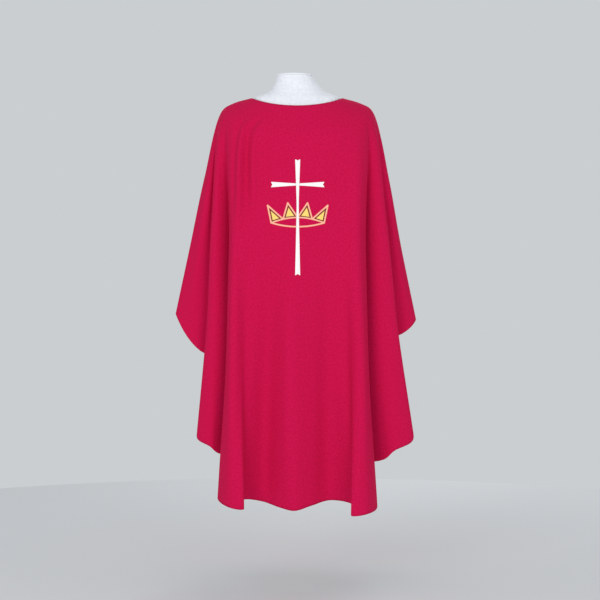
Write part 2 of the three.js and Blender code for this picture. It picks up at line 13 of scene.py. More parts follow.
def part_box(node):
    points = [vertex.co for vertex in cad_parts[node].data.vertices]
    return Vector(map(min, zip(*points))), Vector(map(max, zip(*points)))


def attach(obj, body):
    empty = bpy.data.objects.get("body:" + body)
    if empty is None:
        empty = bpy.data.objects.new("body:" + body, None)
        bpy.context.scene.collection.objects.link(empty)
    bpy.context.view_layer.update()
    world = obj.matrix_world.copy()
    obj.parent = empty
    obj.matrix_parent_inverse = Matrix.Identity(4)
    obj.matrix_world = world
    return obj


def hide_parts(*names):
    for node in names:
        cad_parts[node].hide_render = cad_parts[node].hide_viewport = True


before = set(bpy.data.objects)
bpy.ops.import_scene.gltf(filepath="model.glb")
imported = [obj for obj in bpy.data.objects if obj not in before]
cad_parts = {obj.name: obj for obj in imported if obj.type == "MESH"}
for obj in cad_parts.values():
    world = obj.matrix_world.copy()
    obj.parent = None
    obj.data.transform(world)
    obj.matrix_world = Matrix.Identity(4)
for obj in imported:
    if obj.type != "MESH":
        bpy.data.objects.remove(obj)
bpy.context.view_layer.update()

# A full, unlined chasuble as it is worn: two cloth panels that hang in deep side folds from the
# shoulders, an embroidered cross and crown on the chest, and a loose white standing collar.
# Metres, +Z up, in the frame of the CAD model; the embroidered front faces -Y.

LOG = logging.getLogger("chasuble")
MM = 0.001
WAVE_SPACING = 0.314  # how far apart the bands of a wave texture lie at a scale of 1


class Body(Enum):
    """The bodies of the frame that pieces ride on."""

    GARMENT = "garment"
    COLLAR = "collar"


class Side(Enum):
    """The wearer's sides, with the direction of each along X."""

    RIGHT = -1
    LEFT = 1

    @property
    def word(self) -> str:
        """The side's word in the names of pieces."""
        return self.name.lower()


class Face(Enum):
    """The two cloth panels, with the direction of each along Y."""

    FRONT = -1
    BACK = 1

    @property
    def word(self) -> str:
        """The face's word in the names of pieces."""
        return self.name.lower()


# ---- Small tools --------------------------------------------------------------------------------


def linear_colour(hex_code: str) -> tuple[float, float, float, float]:
    """Turn an sRGB hex colour into a linear RGBA.

    Args:
        hex_code: Six hex digits.

    Returns:
        Linear red, green, blue and an alpha of 1.
    """
    channels = [int(hex_code[start:start + 2], 16) / 255 for start in (0, 2, 4)]
    linear = [c / 12.92 if c <= 0.04045 else ((c + 0.055) / 1.055) ** 2.4 for c in channels]
    return (*linear, 1.0)


def deselect_all() -> None:
    """Leave edit mode and clear the selection."""
    if bpy.context.object and bpy.context.object.mode != "OBJECT":
        bpy.ops.object.mode_set(mode="OBJECT")
    bpy.ops.object.select_all(action="DESELECT")


def activate(piece: bpy.types.Object) -> None:
    """Make one object the only selected and active one."""
    deselect_all()
    piece.select_set(True)
    bpy.context.view_layer.objects.active = piece


def apply_modifier(piece: bpy.types.Object, kind: str, **settings: object) -> None:
    """Add a modifier with its settings and apply it.

    Args:
        piece: The object to change.
        kind: Blender's name for the modifier type.
        **settings: The modifier's attributes.
    """
    activate(piece)
    modifier = piece.modifiers.new(kind.title(), kind)
    for name, value in settings.items():
        setattr(modifier, name, value)
    bpy.ops.object.modifier_apply(modifier=modifier.name)


def fix_place(piece: bpy.types.Object) -> None:
    """Move an object's place, turn and scale into its mesh."""
    activate(piece)
    bpy.ops.object.transform_apply(location=True, rotation=True, scale=True)


def smooth(piece: bpy.types.Object) -> None:
    """Shade every face of a piece smooth."""
    piece.data.shade_smooth()


def mesh_points(piece: bpy.types.Object) -> np.ndarray:
    """The vertices of a mesh object as an array of points."""
    points = np.empty(len(piece.data.vertices) * 3)
    piece.data.vertices.foreach_get("co", points)
    return points.reshape(-1, 3)


def set_mesh_points(piece: bpy.types.Object, points: np.ndarray) -> None:
    """Write an array of points back to a mesh object's vertices."""
    piece.data.vertices.foreach_set("co", np.ascontiguousarray(points, dtype=float).ravel())
    piece.data.update()


def select_vertices(piece: bpy.types.Object, chosen: Callable[[Vector], bool]) -> None:
    """Select the vertices of a piece in edit mode by their place.

    Args:
        piece: The object, in edit mode.
        chosen: Says of a vertex's place whether it is selected.
    """
    bpy.ops.mesh.select_all(action="DESELECT")
    bpy.ops.object.mode_set(mode="OBJECT")
    for vertex in piece.data.vertices:
        vertex.select = chosen(vertex.co)
    bpy.ops.object.mode_set(mode="EDIT")


# ---- Finishes -----------------------------------------------------------------------------------


def add_node(
    material: bpy.types.Material, kind: str, links: dict[str, object] | None = None, **settings: object
) -> bpy.types.Node:
    """Add a shader node with its settings and links.

    Args:
        material: The material whose tree gets the node.
        kind: The node's type name.
        links: Input name or index to an output socket, or to a constant.
        **settings: The node's attributes.

    Returns:
        The new node.
    """
    node = material.node_tree.nodes.new(kind)
    for name, value in settings.items():
        setattr(node, name, value)
    for name, value in (links or {}).items():
        if isinstance(value, bpy.types.NodeSocket):
            material.node_tree.links.new(value, node.inputs[name])
        else:
            node.inputs[name].default_value = value
    return node


def blank_material(name: str, **constants: object) -> tuple[bpy.types.Material, bpy.types.Node]:
    """A new node material with one Principled shader.

    Args:
        name: The material's name.
        **constants: Principled sockets, with underscores for spaces.

    Returns:
        The material and its shader node.
    """
    material = bpy.data.materials.new(name)
    material.use_nodes = True
    shader = material.node_tree.nodes["Principled BSDF"]
    for socket, value in constants.items():
        shader.inputs[socket.replace("_", " ")].default_value = value
    return material, shader


@dataclass(frozen=True)
class CrepeFinish:
    """Woven polyester crepe: matte, with a pebbled grain that breaks up the light.

    The map runs in metres of cloth, across and down, so the grain follows the folds.
    """

    name: str
    colour: str
    fleck: str
    grain_mm: float = 2.4  # real crepe grain is about 1 mm; drawn this coarse so that it shows
    slub_mm: float = 6.0
    thread_mm: float = 1.6  # real threads lie 0.4 mm apart; coarser so that close views show them

    def material(self) -> bpy.types.Material:
        """Build the cloth's material."""
        material, shader = blank_material(
            self.name, Roughness=0.9, Sheen_Weight=0.12, Sheen_Roughness=0.5, Specular_IOR_Level=0.12
        )
        shader.inputs["Sheen Tint"].default_value = linear_colour("FF2A66")
        cloth = add_node(material, "ShaderNodeUVMap", uv_map="cloth").outputs["UV"]
        grain = add_node(
            material, "ShaderNodeTexNoise",
            {"Vector": cloth, "Scale": 1 / (self.grain_mm * MM), "Detail": 3.0, "Roughness": 0.62},
        )
        slub = add_node(
            material, "ShaderNodeTexNoise",
            {"Vector": cloth, "Scale": 1 / (self.slub_mm * MM), "Detail": 2.0, "Roughness": 0.5},
        )
        mottle = add_node(
            material, "ShaderNodeMath", {0: grain.outputs["Fac"], 1: slub.outputs["Fac"]}, operation="ADD"
        )
        share = add_node(
            material, "ShaderNodeMapRange",
            {"Value": mottle.outputs["Value"], "From Min": 0.72, "From Max": 1.28},
        )
        blend = self.blend(material, share.outputs["Result"])
        threads = self.threads(material, cloth)
        relief = add_node(
            material, "ShaderNodeMath", {0: grain.outputs["Fac"], 1: threads}, operation="ADD"
        )
        bump = add_node(
            material, "ShaderNodeBump",
            {"Height": relief.outputs["Value"], "Strength": 0.22, "Distance": 0.5 * MM},
        )
        material.node_tree.links.new(blend, shader.inputs["Base Color"])
        material.node_tree.links.new(bump.outputs["Normal"], shader.inputs["Normal"])
        return material

    def blend(self, material: bpy.types.Material, share: bpy.types.NodeSocket) -> bpy.types.NodeSocket:
        """Mix the cloth's two colours by a share and give the colour socket."""
        ramp = add_node(material, "ShaderNodeValToRGB", {"Fac": share})
        ramp.color_ramp.elements[0].color = linear_colour(self.colour)
        ramp.color_ramp.elements[1].color = linear_colour(self.fleck)
        return ramp.outputs["Color"]

    def threads(self, material: bpy.types.Material, cloth: bpy.types.NodeSocket) -> bpy.types.NodeSocket:
        """The crossing warp and weft as one height."""
        heights = [
            add_node(
                material, "ShaderNodeTexWave",
                {"Vector": cloth, "Scale": WAVE_SPACING / (self.thread_mm * MM), "Distortion": 0.6},
                bands_direction=direction,
            ).outputs["Fac"]
            for direction in ("X", "Y")
        ]
        weave = add_node(material, "ShaderNodeMath", {0: heights[0], 1: heights[1]}, operation="MULTIPLY")
        return weave.outputs["Value"]


@dataclass(frozen=True)
class SatinFinish:
    """Machine satin stitch: glossy parallel threads packed side by side.

    The map runs in metres along and across the line of stitching.
    """

    name: str
    colour: str
    shade: str
    thread_mm: float = 1.0  # real thread is 0.4 mm; drawn coarser so that close views show it
    roughness: float = 0.42
    shaded_rim: str | None = None  # the colour of the painted shade on the sloped rim of a piece, where a piece has one

    def material(self) -> bpy.types.Material:
        """Build the thread's material."""
        material, shader = blank_material(
            self.name, Roughness=self.roughness, Sheen_Weight=0.03, Specular_IOR_Level=0.3, Anisotropic=0.5
        )
        stitch = add_node(material, "ShaderNodeUVMap", uv_map="stitch").outputs["UV"]
        wave = add_node(
            material, "ShaderNodeTexWave",
            {"Vector": stitch, "Scale": WAVE_SPACING / (self.thread_mm * MM), "Distortion": 0.35},
            bands_direction="X",
        )
        # The darker colour is painted shade in the grooves between the threads, where the bump is lowest
        ramp = add_node(material, "ShaderNodeValToRGB", {"Fac": wave.outputs["Fac"]})
        ramp.color_ramp.elements[0].color = linear_colour(self.shade)
        ramp.color_ramp.elements[1].position = 0.35
        ramp.color_ramp.elements[1].color = linear_colour(self.colour)
        bump = add_node(
            material, "ShaderNodeBump",
            {"Height": wave.outputs["Fac"], "Strength": 0.5, "Distance": 0.3 * MM},
        )
        colour = ramp.outputs["Color"]
        if self.shaded_rim:
            colour = self.with_rim_shade(material, colour)
        material.node_tree.links.new(colour, shader.inputs["Base Color"])
        material.node_tree.links.new(bump.outputs["Normal"], shader.inputs["Normal"])
        return material

    def with_rim_shade(self, material: bpy.types.Material, colour: bpy.types.NodeSocket) -> bpy.types.NodeSocket:
        """Paint shade in a dark colour over the sloped rim of a fill, where the mesh's rim attribute is
        high.
        """
        shaded_rim = add_node(material, "ShaderNodeAttribute", attribute_name="shaded_rim").outputs["Fac"]
        share = add_node(
            material, "ShaderNodeMapRange", {"Value": shaded_rim, "From Min": 0.18, "From Max": 0.28}
        ).outputs["Result"]
        mixer = add_node(material, "ShaderNodeMixRGB", {"Fac": share, "Color1": colour})
        mixer.inputs["Color2"].default_value = linear_colour(self.shaded_rim)
        return mixer.outputs["Color"]


@dataclass(frozen=True)
class LinenFinish:
    """Washed white plain weave: matte and soft, with threads of uneven thickness."""

    name: str
    colour: str
    shade: str
    thread_mm: float = 1.4  # real threads lie 0.5 mm apart; coarser so that close views show them

    def material(self) -> bpy.types.Material:
        """Build the linen's material."""
        material, shader = blank_material(
            self.name, Roughness=0.85, Sheen_Weight=0.15, Specular_IOR_Level=0.25
        )
        place = add_node(material, "ShaderNodeTexCoord").outputs["Object"]
        cloud = add_node(
            material, "ShaderNodeTexNoise", {"Vector": place, "Scale": 1 / (9 * MM), "Detail": 3.0}
        )
        ramp = add_node(material, "ShaderNodeValToRGB", {"Fac": cloud.outputs["Fac"]})
        ramp.color_ramp.elements[0].position = 0.3
        ramp.color_ramp.elements[0].color = linear_colour(self.shade)
        ramp.color_ramp.elements[1].position = 0.7
        ramp.color_ramp.elements[1].color = linear_colour(self.colour)
        waves = [
            add_node(
                material, "ShaderNodeTexWave",
                {
                    "Vector": place, "Scale": WAVE_SPACING / (self.thread_mm * MM),
                    "Distortion": 1.2, "Detail": 1.0,
                },
                bands_direction=direction,
            ).outputs["Fac"]
            for direction in ("DIAGONAL", "Z")
        ]
        weave = add_node(material, "ShaderNodeMath", {0: waves[0], 1: waves[1]}, operation="ADD")
        bump = add_node(
            material, "ShaderNodeBump",
            {"Height": weave.outputs["Value"], "Strength": 0.25, "Distance": 0.3 * MM},
        )
        material.node_tree.links.new(ramp.outputs["Color"], shader.inputs["Base Color"])
        material.node_tree.links.new(bump.outputs["Normal"], shader.inputs["Normal"])
        return material


class Finishes:
    """Every finish of the garment, by its material slot in the record."""

    def __init__(self) -> None:
        """Make one material for each slot."""
        makers = {
            "crimson_cloth": CrepeFinish("crimson_crepe", "B9053F", "CE104C"),
            "crimson_facing": CrepeFinish("crimson_facing_weave", "A00838", "B30F43", grain_mm=1.8),
            "white_satin_stitch": SatinFinish("white_satin_thread", "FFFDFC", "E9E2E0"),
            # The gold fills get a dark brown painted shade on their sloped rims
            "gold_satin_stitch": SatinFinish("gold_satin_thread", "FFE07A", "E2B140", shaded_rim="6B1A0C"),
            "peach_gold_stitch": SatinFinish("copper_gold_thread", "FFBFA0", "EE9470"),
            "white_backing": LinenFinish("backing_fleece", "E6E4E2", "D5D3D1", thread_mm=2.2),
            "white_linen": LinenFinish("washed_linen", "EDEEF3", "E2E4EB"),
        }
        self.by_slot = {slot: maker.material() for slot, maker in makers.items()}

    def dress(self, piece: bpy.types.Object, slot: str) -> None:
        """Give a piece the material of a slot."""
        piece.data.materials.clear()
        piece.data.materials.append(self.by_slot[slot])


# ---- The hanging cloth --------------------------------------------------------------------------


@dataclass(frozen=True)
class Fold:
    """A line of the cloth from neckline to hem.

    `neck` is its angle round the neck from the centre, in degrees. `third` and `low` are where it
    hangs a third and two thirds of the way down and `hem` where it ends: across and forward in
    percent of half the span and of the hang's depth, and for the hem how far down in percent.
    """

    neck: float
    third: tuple[float, float]
    low: tuple[float, float]
    hem: tuple[float, float, float]


SEAMS = {
    Side.RIGHT: Fold(90, (77, 0), (89, 0), (101, 0, 52.8)),
    Side.LEFT: Fold(90, (76, 0), (87, 0), (99, 0, 54.3)),
}
FOLDS = {
    Side.RIGHT: [
        Fold(87, (75, 11), (84, 12), (92.5, 12, 57.8)),  # wing
        Fold(84, (71, 16), (77, 15), (80, 15, 62)),  # wing, towards the body
        Fold(81, (68.3, 15), (57, 10), (45, 7.5, 67.5)),  # hidden turn behind the side fold
        Fold(78, (69, 21), (71, 19), (75, 18, 77.5)),  # side fold, back edge
        Fold(74, (70, 32), (74, 35), (82, 37, 82.8)),  # side fold, outer edge
        Fold(70, (66, 37), (68, 42), (70.5, 47, 84.8)),  # side fold, front
        Fold(66, (59, 32), (57, 37), (64.5, 42, 86.4)),  # into the deep valley
        Fold(62, (52, 26), (42, 20), (36, 18, 89)),  # floor of the deep valley
        Fold(58, (53.5, 37), (50, 38), (52, 42, 94)),  # out of the deep valley
        Fold(53, (55.5, 45), (58, 51), (64.2, 60, 96.5)),  # front pleat, outer edge
        Fold(47, (52, 61), (53, 71), (54.5, 90, 98.2)),  # front pleat
        Fold(40, (46, 64), (45, 70), (42.5, 95, 98.6)),  # front pleat, inner edge
        Fold(33, (37, 64), (38, 62), (43.5, 74, 96.9)),  # turn behind the pleat
        Fold(24, (26, 64), (27, 57), (27.9, 52, 97.8)),  # shallow dip
        Fold(12, (13, 65), (13, 63), (14, 65, 98.9)),
    ],
    Side.LEFT: [
        Fold(87, (75, 11), (84, 11), (95, 10, 56)),
        Fold(84, (72, 16), (79, 15), (86.5, 14, 57.9)),
        Fold(81, (69, 15), (58, 10), (46, 7.5, 63)),
        Fold(78, (71, 21), (76, 19), (86, 18, 76)),
        Fold(74, (73, 32), (82, 36), (95, 38, 83.2)),
        Fold(70, (67, 37), (72, 42), (79, 47, 85.8)),
        Fold(66, (60, 33), (60, 37), (70.5, 42, 88)),
        Fold(62, (52, 26), (42, 20), (36, 18, 90)),
        Fold(58, (54.5, 38), (50, 38), (52, 42, 93.5)),
        Fold(53, (56, 46), (58.5, 51), (64.7, 62, 98.4)),
        Fold(47, (51, 61), (54, 71), (55.5, 95, 99.7)),
        Fold(40, (45, 64), (46, 70), (43, 98, 100)),
        Fold(33, (37, 64), (39, 62), (45.5, 77, 98.1)),
        Fold(24, (26, 64), (27, 57), (26.9, 52, 97.5)),
        Fold(12, (13, 65), (12.5, 63), (11.5, 65, 98.5)),
    ],
}
CENTRE_FOLD = Fold(0, (0, 67), (-1, 69), (-2, 73, 99.5))


def centripetal_curve(points: np.ndarray, places: np.ndarray, closed: bool) -> np.ndarray:
    """Sample a centripetal Catmull-Rom curve.

    Args:
        points: Control points, one row each.
        places: Where to sample, from 0 at the first point to 1 at the last, or round to the first.
        closed: Whether the curve closes on its first point.

    Returns:
        One point for each place.
    """
    count = len(points)
    spans = count if closed else count - 1
    scaled = np.clip(places, 0, 1) * spans
    index = np.minimum(scaled.astype(int), spans - 1)
    share = (scaled - index)[:, None]
    if closed:
        p0, p1, p2, p3 = (points[(index + step) % count] for step in (-1, 0, 1, 2))
    else:
        ends = np.vstack([2 * points[0] - points[1], points, 2 * points[-1] - points[-2]])
        p0, p1, p2, p3 = (ends[index + step] for step in (0, 1, 2, 3))

    def knot(a: np.ndarray, b: np.ndarray) -> np.ndarray:
        """The centripetal spacing between two rows of points."""
        return np.maximum(np.sum((a - b) ** 2, axis=1) ** 0.25, 1e-5)[:, None]

    d0, d1, d2 = knot(p0, p1), knot(p1, p2), knot(p2, p3)
    t1 = ((p1 - p0) / d0 - (p2 - p0) / (d0 + d1) + (p2 - p1) / d1) * d1
    t2 = ((p2 - p1) / d1 - (p3 - p1) / (d1 + d2) + (p3 - p2) / d2) * d1
    cubic = 2 * p1 - 2 * p2 + t1 + t2
    square = -3 * p1 + 3 * p2 - 2 * t1 - t2
    return p1 + t1 * share + square * share ** 2 + cubic * share ** 3


def running_length(points: np.ndarray) -> np.ndarray:
    """The distance along a row of points to each of them."""
    return np.concatenate([[0], np.cumsum(np.linalg.norm(np.diff(points, axis=0), axis=1))])


def points_at(wanted: np.ndarray, places: np.ndarray, points: np.ndarray) -> np.ndarray:
    """Interpolate between a row of points.

    Args:
        wanted: The places along the row to give points for.
        places: The place of each known point along the row.
        points: The known points.

    Returns:
        One point for each wanted place.
    """
    return np.stack([np.interp(wanted, places, points[:, axis]) for axis in range(3)], axis=1)


@dataclass(frozen=True)
class Crease:
    """A small soft ridge, or a hollow if its height is negative, that lies on the main folds.

    `start` and `end` are (fold number, share of the way down); folds are counted round the cloth
    from the wearer's right seam, with the centre front at 16 and the left seam at 32. `width_mm`
    runs from its middle to where it has fallen to about a third of its height.
    """

    start: tuple[float, float]
    end: tuple[float, float]
    height_mm: float
    width_mm: float


CREASES = [
    # On the wearer's right shoulder: two narrow ridges with hollows beside them
    Crease((12.3, 0.05), (11.8, 0.36), 10.0, 12),
    Crease((11.6, 0.06), (11.2, 0.32), -6.0, 12),
    Crease((13.1, 0.05), (12.7, 0.32), -9.0, 11),
    Crease((13.9, 0.06), (13.4, 0.30), 8.0, 11),
    Crease((14.8, 0.07), (14.3, 0.26), -5.0, 13),
    # The long ridges of the front pleats
    Crease((11.6, 0.25), (11.1, 0.98), 7.0, 20),
    Crease((20.2, 0.10), (20.6, 0.98), 8.0, 20),
    Crease((12.4, 0.40), (12.6, 0.92), -6.0, 18),
    # The soft folds of the middle
    Crease((15.5, 0.34), (15.4, 0.99), 10.0, 26),
    Crease((14.3, 0.42), (14.1, 0.97), -11.0, 26),
    Crease((17.9, 0.38), (17.9, 0.97), -9.0, 36),
    Crease((19.1, 0.45), (19.2, 0.96), -7.0, 22),
    # The wings and side folds
    Crease((1.5, 0.25), (1.2, 0.95), 5.0, 20),
    Crease((2.4, 0.20), (2.3, 0.85), -4.0, 12),
    Crease((30.0, 0.20), (29.8, 0.85), -4.0, 12),
    Crease((30.9, 0.25), (30.9, 0.90), 4.0, 18),
]


@dataclass
class Drape:
    """The outer surface of the hanging cloth, as a grid of columns round it and rows down it."""

    length: float = 1.270
    half_span: float = 0.375
    hang_depth: float = 0.235
    back_depth_share: float = 0.92
    back_width_share: float = 0.96
    neck_half_width: float = 0.141
    neck_depth: dict[Face, float] = field(default_factory=lambda: {Face.FRONT: 0.096, Face.BACK: 0.092})
    neck_dip: dict[Face, float] = field(default_factory=lambda: {Face.FRONT: 0.035, Face.BACK: 0.006})
    shoulder_half_width: float = 0.234
    shoulder_drop: float = 0.040
    chest_depth: float = 0.134
    chest_drop: float = 0.095
    shoulder_rounding: float = 0.008
    crest_share: float = 0.62  # where the shoulder is roundest, from the neckline to its outer end
    neck_dip_power: float = 1.5  # how closely the dip keeps to the middle of front and back
    shoulder_power: float = 0.75  # how soon the cloth reaches the shoulder's full width
    chest_drop_power: float = 1.3
    samples: int = 600  # along a fold, before its rows are spaced evenly
    columns_per_fold: int = 8
    rows: int = 156
    crease_fade_power: float = 0.7  # how quickly a crease dies out at its two ends
    ripple: float = 1.3 * MM  # the cloth's own slight unevenness
    ripple_size: float = 0.11
    ripple_stretch: float = 0.35  # the ripple's size across as a share of its size down
    calm_share: float = 0.1  # the share at the neckline over which the ripple sets in
    seam_groove: float = 0.9 * MM

    def __post_init__(self) -> None:
        """Work out the grid, its normals and its distances."""
        self.points = self.spread_folds()
        self.normals = self.find_normals()
        self.points = self.points + self.normals * self.relief()[..., None]
        self.normals = self.find_normals()
        self.down = np.array([running_length(column) for column in self.points])
        self.tree = self.front_tree()

    @property
    def columns(self) -> int:
        """How many columns go round the cloth."""
        return self.points.shape[0]

    @property
    def seam(self) -> dict[Side, int]:
        """The column of each shoulder seam."""
        return {Side.RIGHT: 0, Side.LEFT: self.columns // 2}

    def fold_line(self, fold: Fold, side: int, face: Face) -> np.ndarray:
        """The points of one fold from neckline to hem.

        Args:
            fold: The fold's places.
            side: -1 on the wearer's right, +1 on the left.
            face: The panel that the fold is on.

        Returns:
            Points evenly spaced down the fold.
        """
        across = math.sin(math.radians(fold.neck))
        forward = math.cos(math.radians(fold.neck))
        back = face is Face.BACK
        depth_sign = self.back_depth_share if back else -1
        spread = self.back_width_share if back else 1
        neck = np.array([
            side * self.neck_half_width * across,
            face.value * self.neck_depth[face] * forward,
            -self.neck_dip[face] * forward ** self.neck_dip_power,
        ])
        shoulder = np.array([
            side * self.shoulder_half_width * across ** self.shoulder_power,
            depth_sign * self.chest_depth * forward,
            -self.shoulder_drop - self.chest_drop * forward ** self.chest_drop_power,
        ])
        crest = neck + (shoulder - neck) * self.crest_share
        crest[2] += self.shoulder_rounding * (1 + across * across) / 2
        hem_level = -self.length * fold.hem[2] / 100

        def place(spot: Sequence[float], share: float) -> np.ndarray:
            """A point of the hanging part, a share of the way from shoulder to hem."""
            x = side * spread * self.half_span * spot[0] / 100
            y = depth_sign * self.hang_depth * spot[1] / 100
            return np.array([x, y, shoulder[2] + (hem_level - shoulder[2]) * share])

        hanging = [place(fold.third, 1 / 3), place(fold.low, 2 / 3), place(fold.hem, 1)]
        control = np.array([neck, crest, shoulder, *hanging])
        line = centripetal_curve(control, np.linspace(0, 1, self.samples), closed=False)
        length = running_length(line)
        return points_at(np.linspace(0, length[-1], self.rows), length, line)

    def spread_folds(self) -> np.ndarray:
        """Join all the folds round the cloth with smooth rows.

        Returns:
            Points by column, row and axis.
        """
        front = [self.fold_line(SEAMS[Side.RIGHT], -1, Face.FRONT)]
        front += [self.fold_line(fold, -1, Face.FRONT) for fold in FOLDS[Side.RIGHT]]
        front += [self.fold_line(CENTRE_FOLD, 1, Face.FRONT)]
        front += [self.fold_line(fold, 1, Face.FRONT) for fold in reversed(FOLDS[Side.LEFT])]
        front += [self.fold_line(SEAMS[Side.LEFT], 1, Face.FRONT)]
        back = [self.fold_line(fold, 1, Face.BACK) for fold in FOLDS[Side.LEFT]]
        back += [self.fold_line(CENTRE_FOLD, -1, Face.BACK)]
        back += [self.fold_line(fold, -1, Face.BACK) for fold in reversed(FOLDS[Side.RIGHT])]
        folds = np.array(front + back)
        places = np.arange(len(folds) * self.columns_per_fold) / (len(folds) * self.columns_per_fold)
        rows = [centripetal_curve(folds[:, row], places, closed=True) for row in range(self.rows)]
        return np.array(rows).transpose(1, 0, 2)

    def find_normals(self) -> np.ndarray:
        """The outward unit normals of the grid."""
        down = np.gradient(self.points, axis=1)
        down /= np.linalg.norm(down, axis=2, keepdims=True)
        steps = np.roll(self.points, -1, axis=0) - self.points
        steps -= down * np.sum(steps * down, axis=2, keepdims=True)
        steps /= np.linalg.norm(steps, axis=2, keepdims=True)
        normals = np.cross(down, steps + np.roll(steps, 1, axis=0))
        return normals / np.linalg.norm(normals, axis=2, keepdims=True)

    def relief(self) -> np.ndarray:
        """How far each point of the grid stands out from the main folds, in metres."""
        columns, rows = self.points.shape[:2]
        fold_number = np.arange(columns) / self.columns_per_fold
        share = np.linspace(0, 1, rows)
        steps = np.linalg.norm(self.points - np.roll(self.points, 1, axis=0), axis=2)
        steps[0] = 0
        around = np.cumsum(steps, axis=0)
        height = np.zeros((columns, rows))
        for crease in CREASES:
            (fold_a, share_a), (fold_b, share_b) = crease.start, crease.end
            progress = (share - share_a) / (share_b - share_a)
            inside = np.clip(progress, 0, 1)
            fade = np.sin(np.pi * inside) ** self.crease_fade_power
            fade = np.where((progress < 0) | (progress > 1), 0, fade)
            middle = fold_a + (fold_b - fold_a) * inside
            for row in np.nonzero(fade)[0]:
                centre = np.interp(middle[row], fold_number, around[:, row])
                offset = (around[:, row] - centre) / (crease.width_mm * MM)
                height[:, row] += crease.height_mm * MM * fade[row] * np.exp(-offset ** 2)
        calm = np.clip(share / self.calm_share, 0, 1)
        for column in range(columns):
            for row in range(rows):
                spot = Vector(self.points[column, row]) / self.ripple_size
                spot.z *= self.ripple_stretch
                height[column, row] += self.ripple * calm[row] * noise.noise(spot)
        for seam in (0, columns // 2):
            height[seam] -= self.seam_groove
        return height

    def front_tree(self) -> BVHTree:
        """A search tree of the front's outer surface, for laying embroidery on it."""
        half = self.columns // 2
        grid = self.points[:half + 1]
        wide, high = grid.shape[:2]
        index = np.arange(wide * high).reshape(wide, high)
        quads = np.stack([index[:-1, :-1], index[1:, :-1], index[1:, 1:], index[:-1, 1:]], axis=2)
        return BVHTree.FromPolygons(grid.reshape(-1, 3).tolist(), quads.reshape(-1, 4).tolist())

    def front_depth(self, x: float, z: float) -> float:
        """The Y of the front's outer surface in front of a point."""
        hit = self.tree.ray_cast(Vector((x, -1, z)), Vector((0, 1, 0)))
        return hit[0].y


def cloth_shell(
    name: str, outer: np.ndarray, inner: np.ndarray, across: np.ndarray, down: np.ndarray
) -> bpy.types.Object:
    """A closed sheet of cloth between two grids, with a map in metres of cloth.

    Args:
        name: The piece's name.
        outer: Points of the outer face, by column and row.
        inner: Points of the inner face, by column and row.
        across: Distance across the cloth of each grid point.
        down: Distance down the cloth of each grid point.

    Returns:
        The new object.
    """
    wide, high = outer.shape[:2]
    index = np.arange(wide * high).reshape(wide, high)
    out = np.stack([index[:-1, :-1], index[:-1, 1:], index[1:, 1:], index[1:, :-1]], axis=2).reshape(-1, 4)
    back = out[:, ::-1] + wide * high
    rim = np.concatenate([index[0], index[1:, -1], index[-1, -2::-1], index[-2:0:-1, 0]])
    following = np.roll(rim, -1)
    edge = np.stack([following, rim, rim + wide * high, following + wide * high], axis=1)
    faces = np.concatenate([out, back, edge])
    mesh = bpy.data.meshes.new(name)
    points = np.concatenate([outer.reshape(-1, 3), inner.reshape(-1, 3)])
    mesh.from_pydata(points.tolist(), [], faces.tolist())
    cloth = np.stack([across.ravel(), down.ravel()], axis=1)
    places = np.concatenate([cloth, cloth])
    layer = mesh.uv_layers.new(name="cloth")
    corners = np.empty(len(mesh.loops), dtype=int)
    mesh.loops.foreach_get("vertex_index", corners)
    layer.data.foreach_set("uv", places[corners].ravel())
    piece = bpy.data.objects.new(name, mesh)
    bpy.context.collection.objects.link(piece)
    smooth(piece)
    return piece


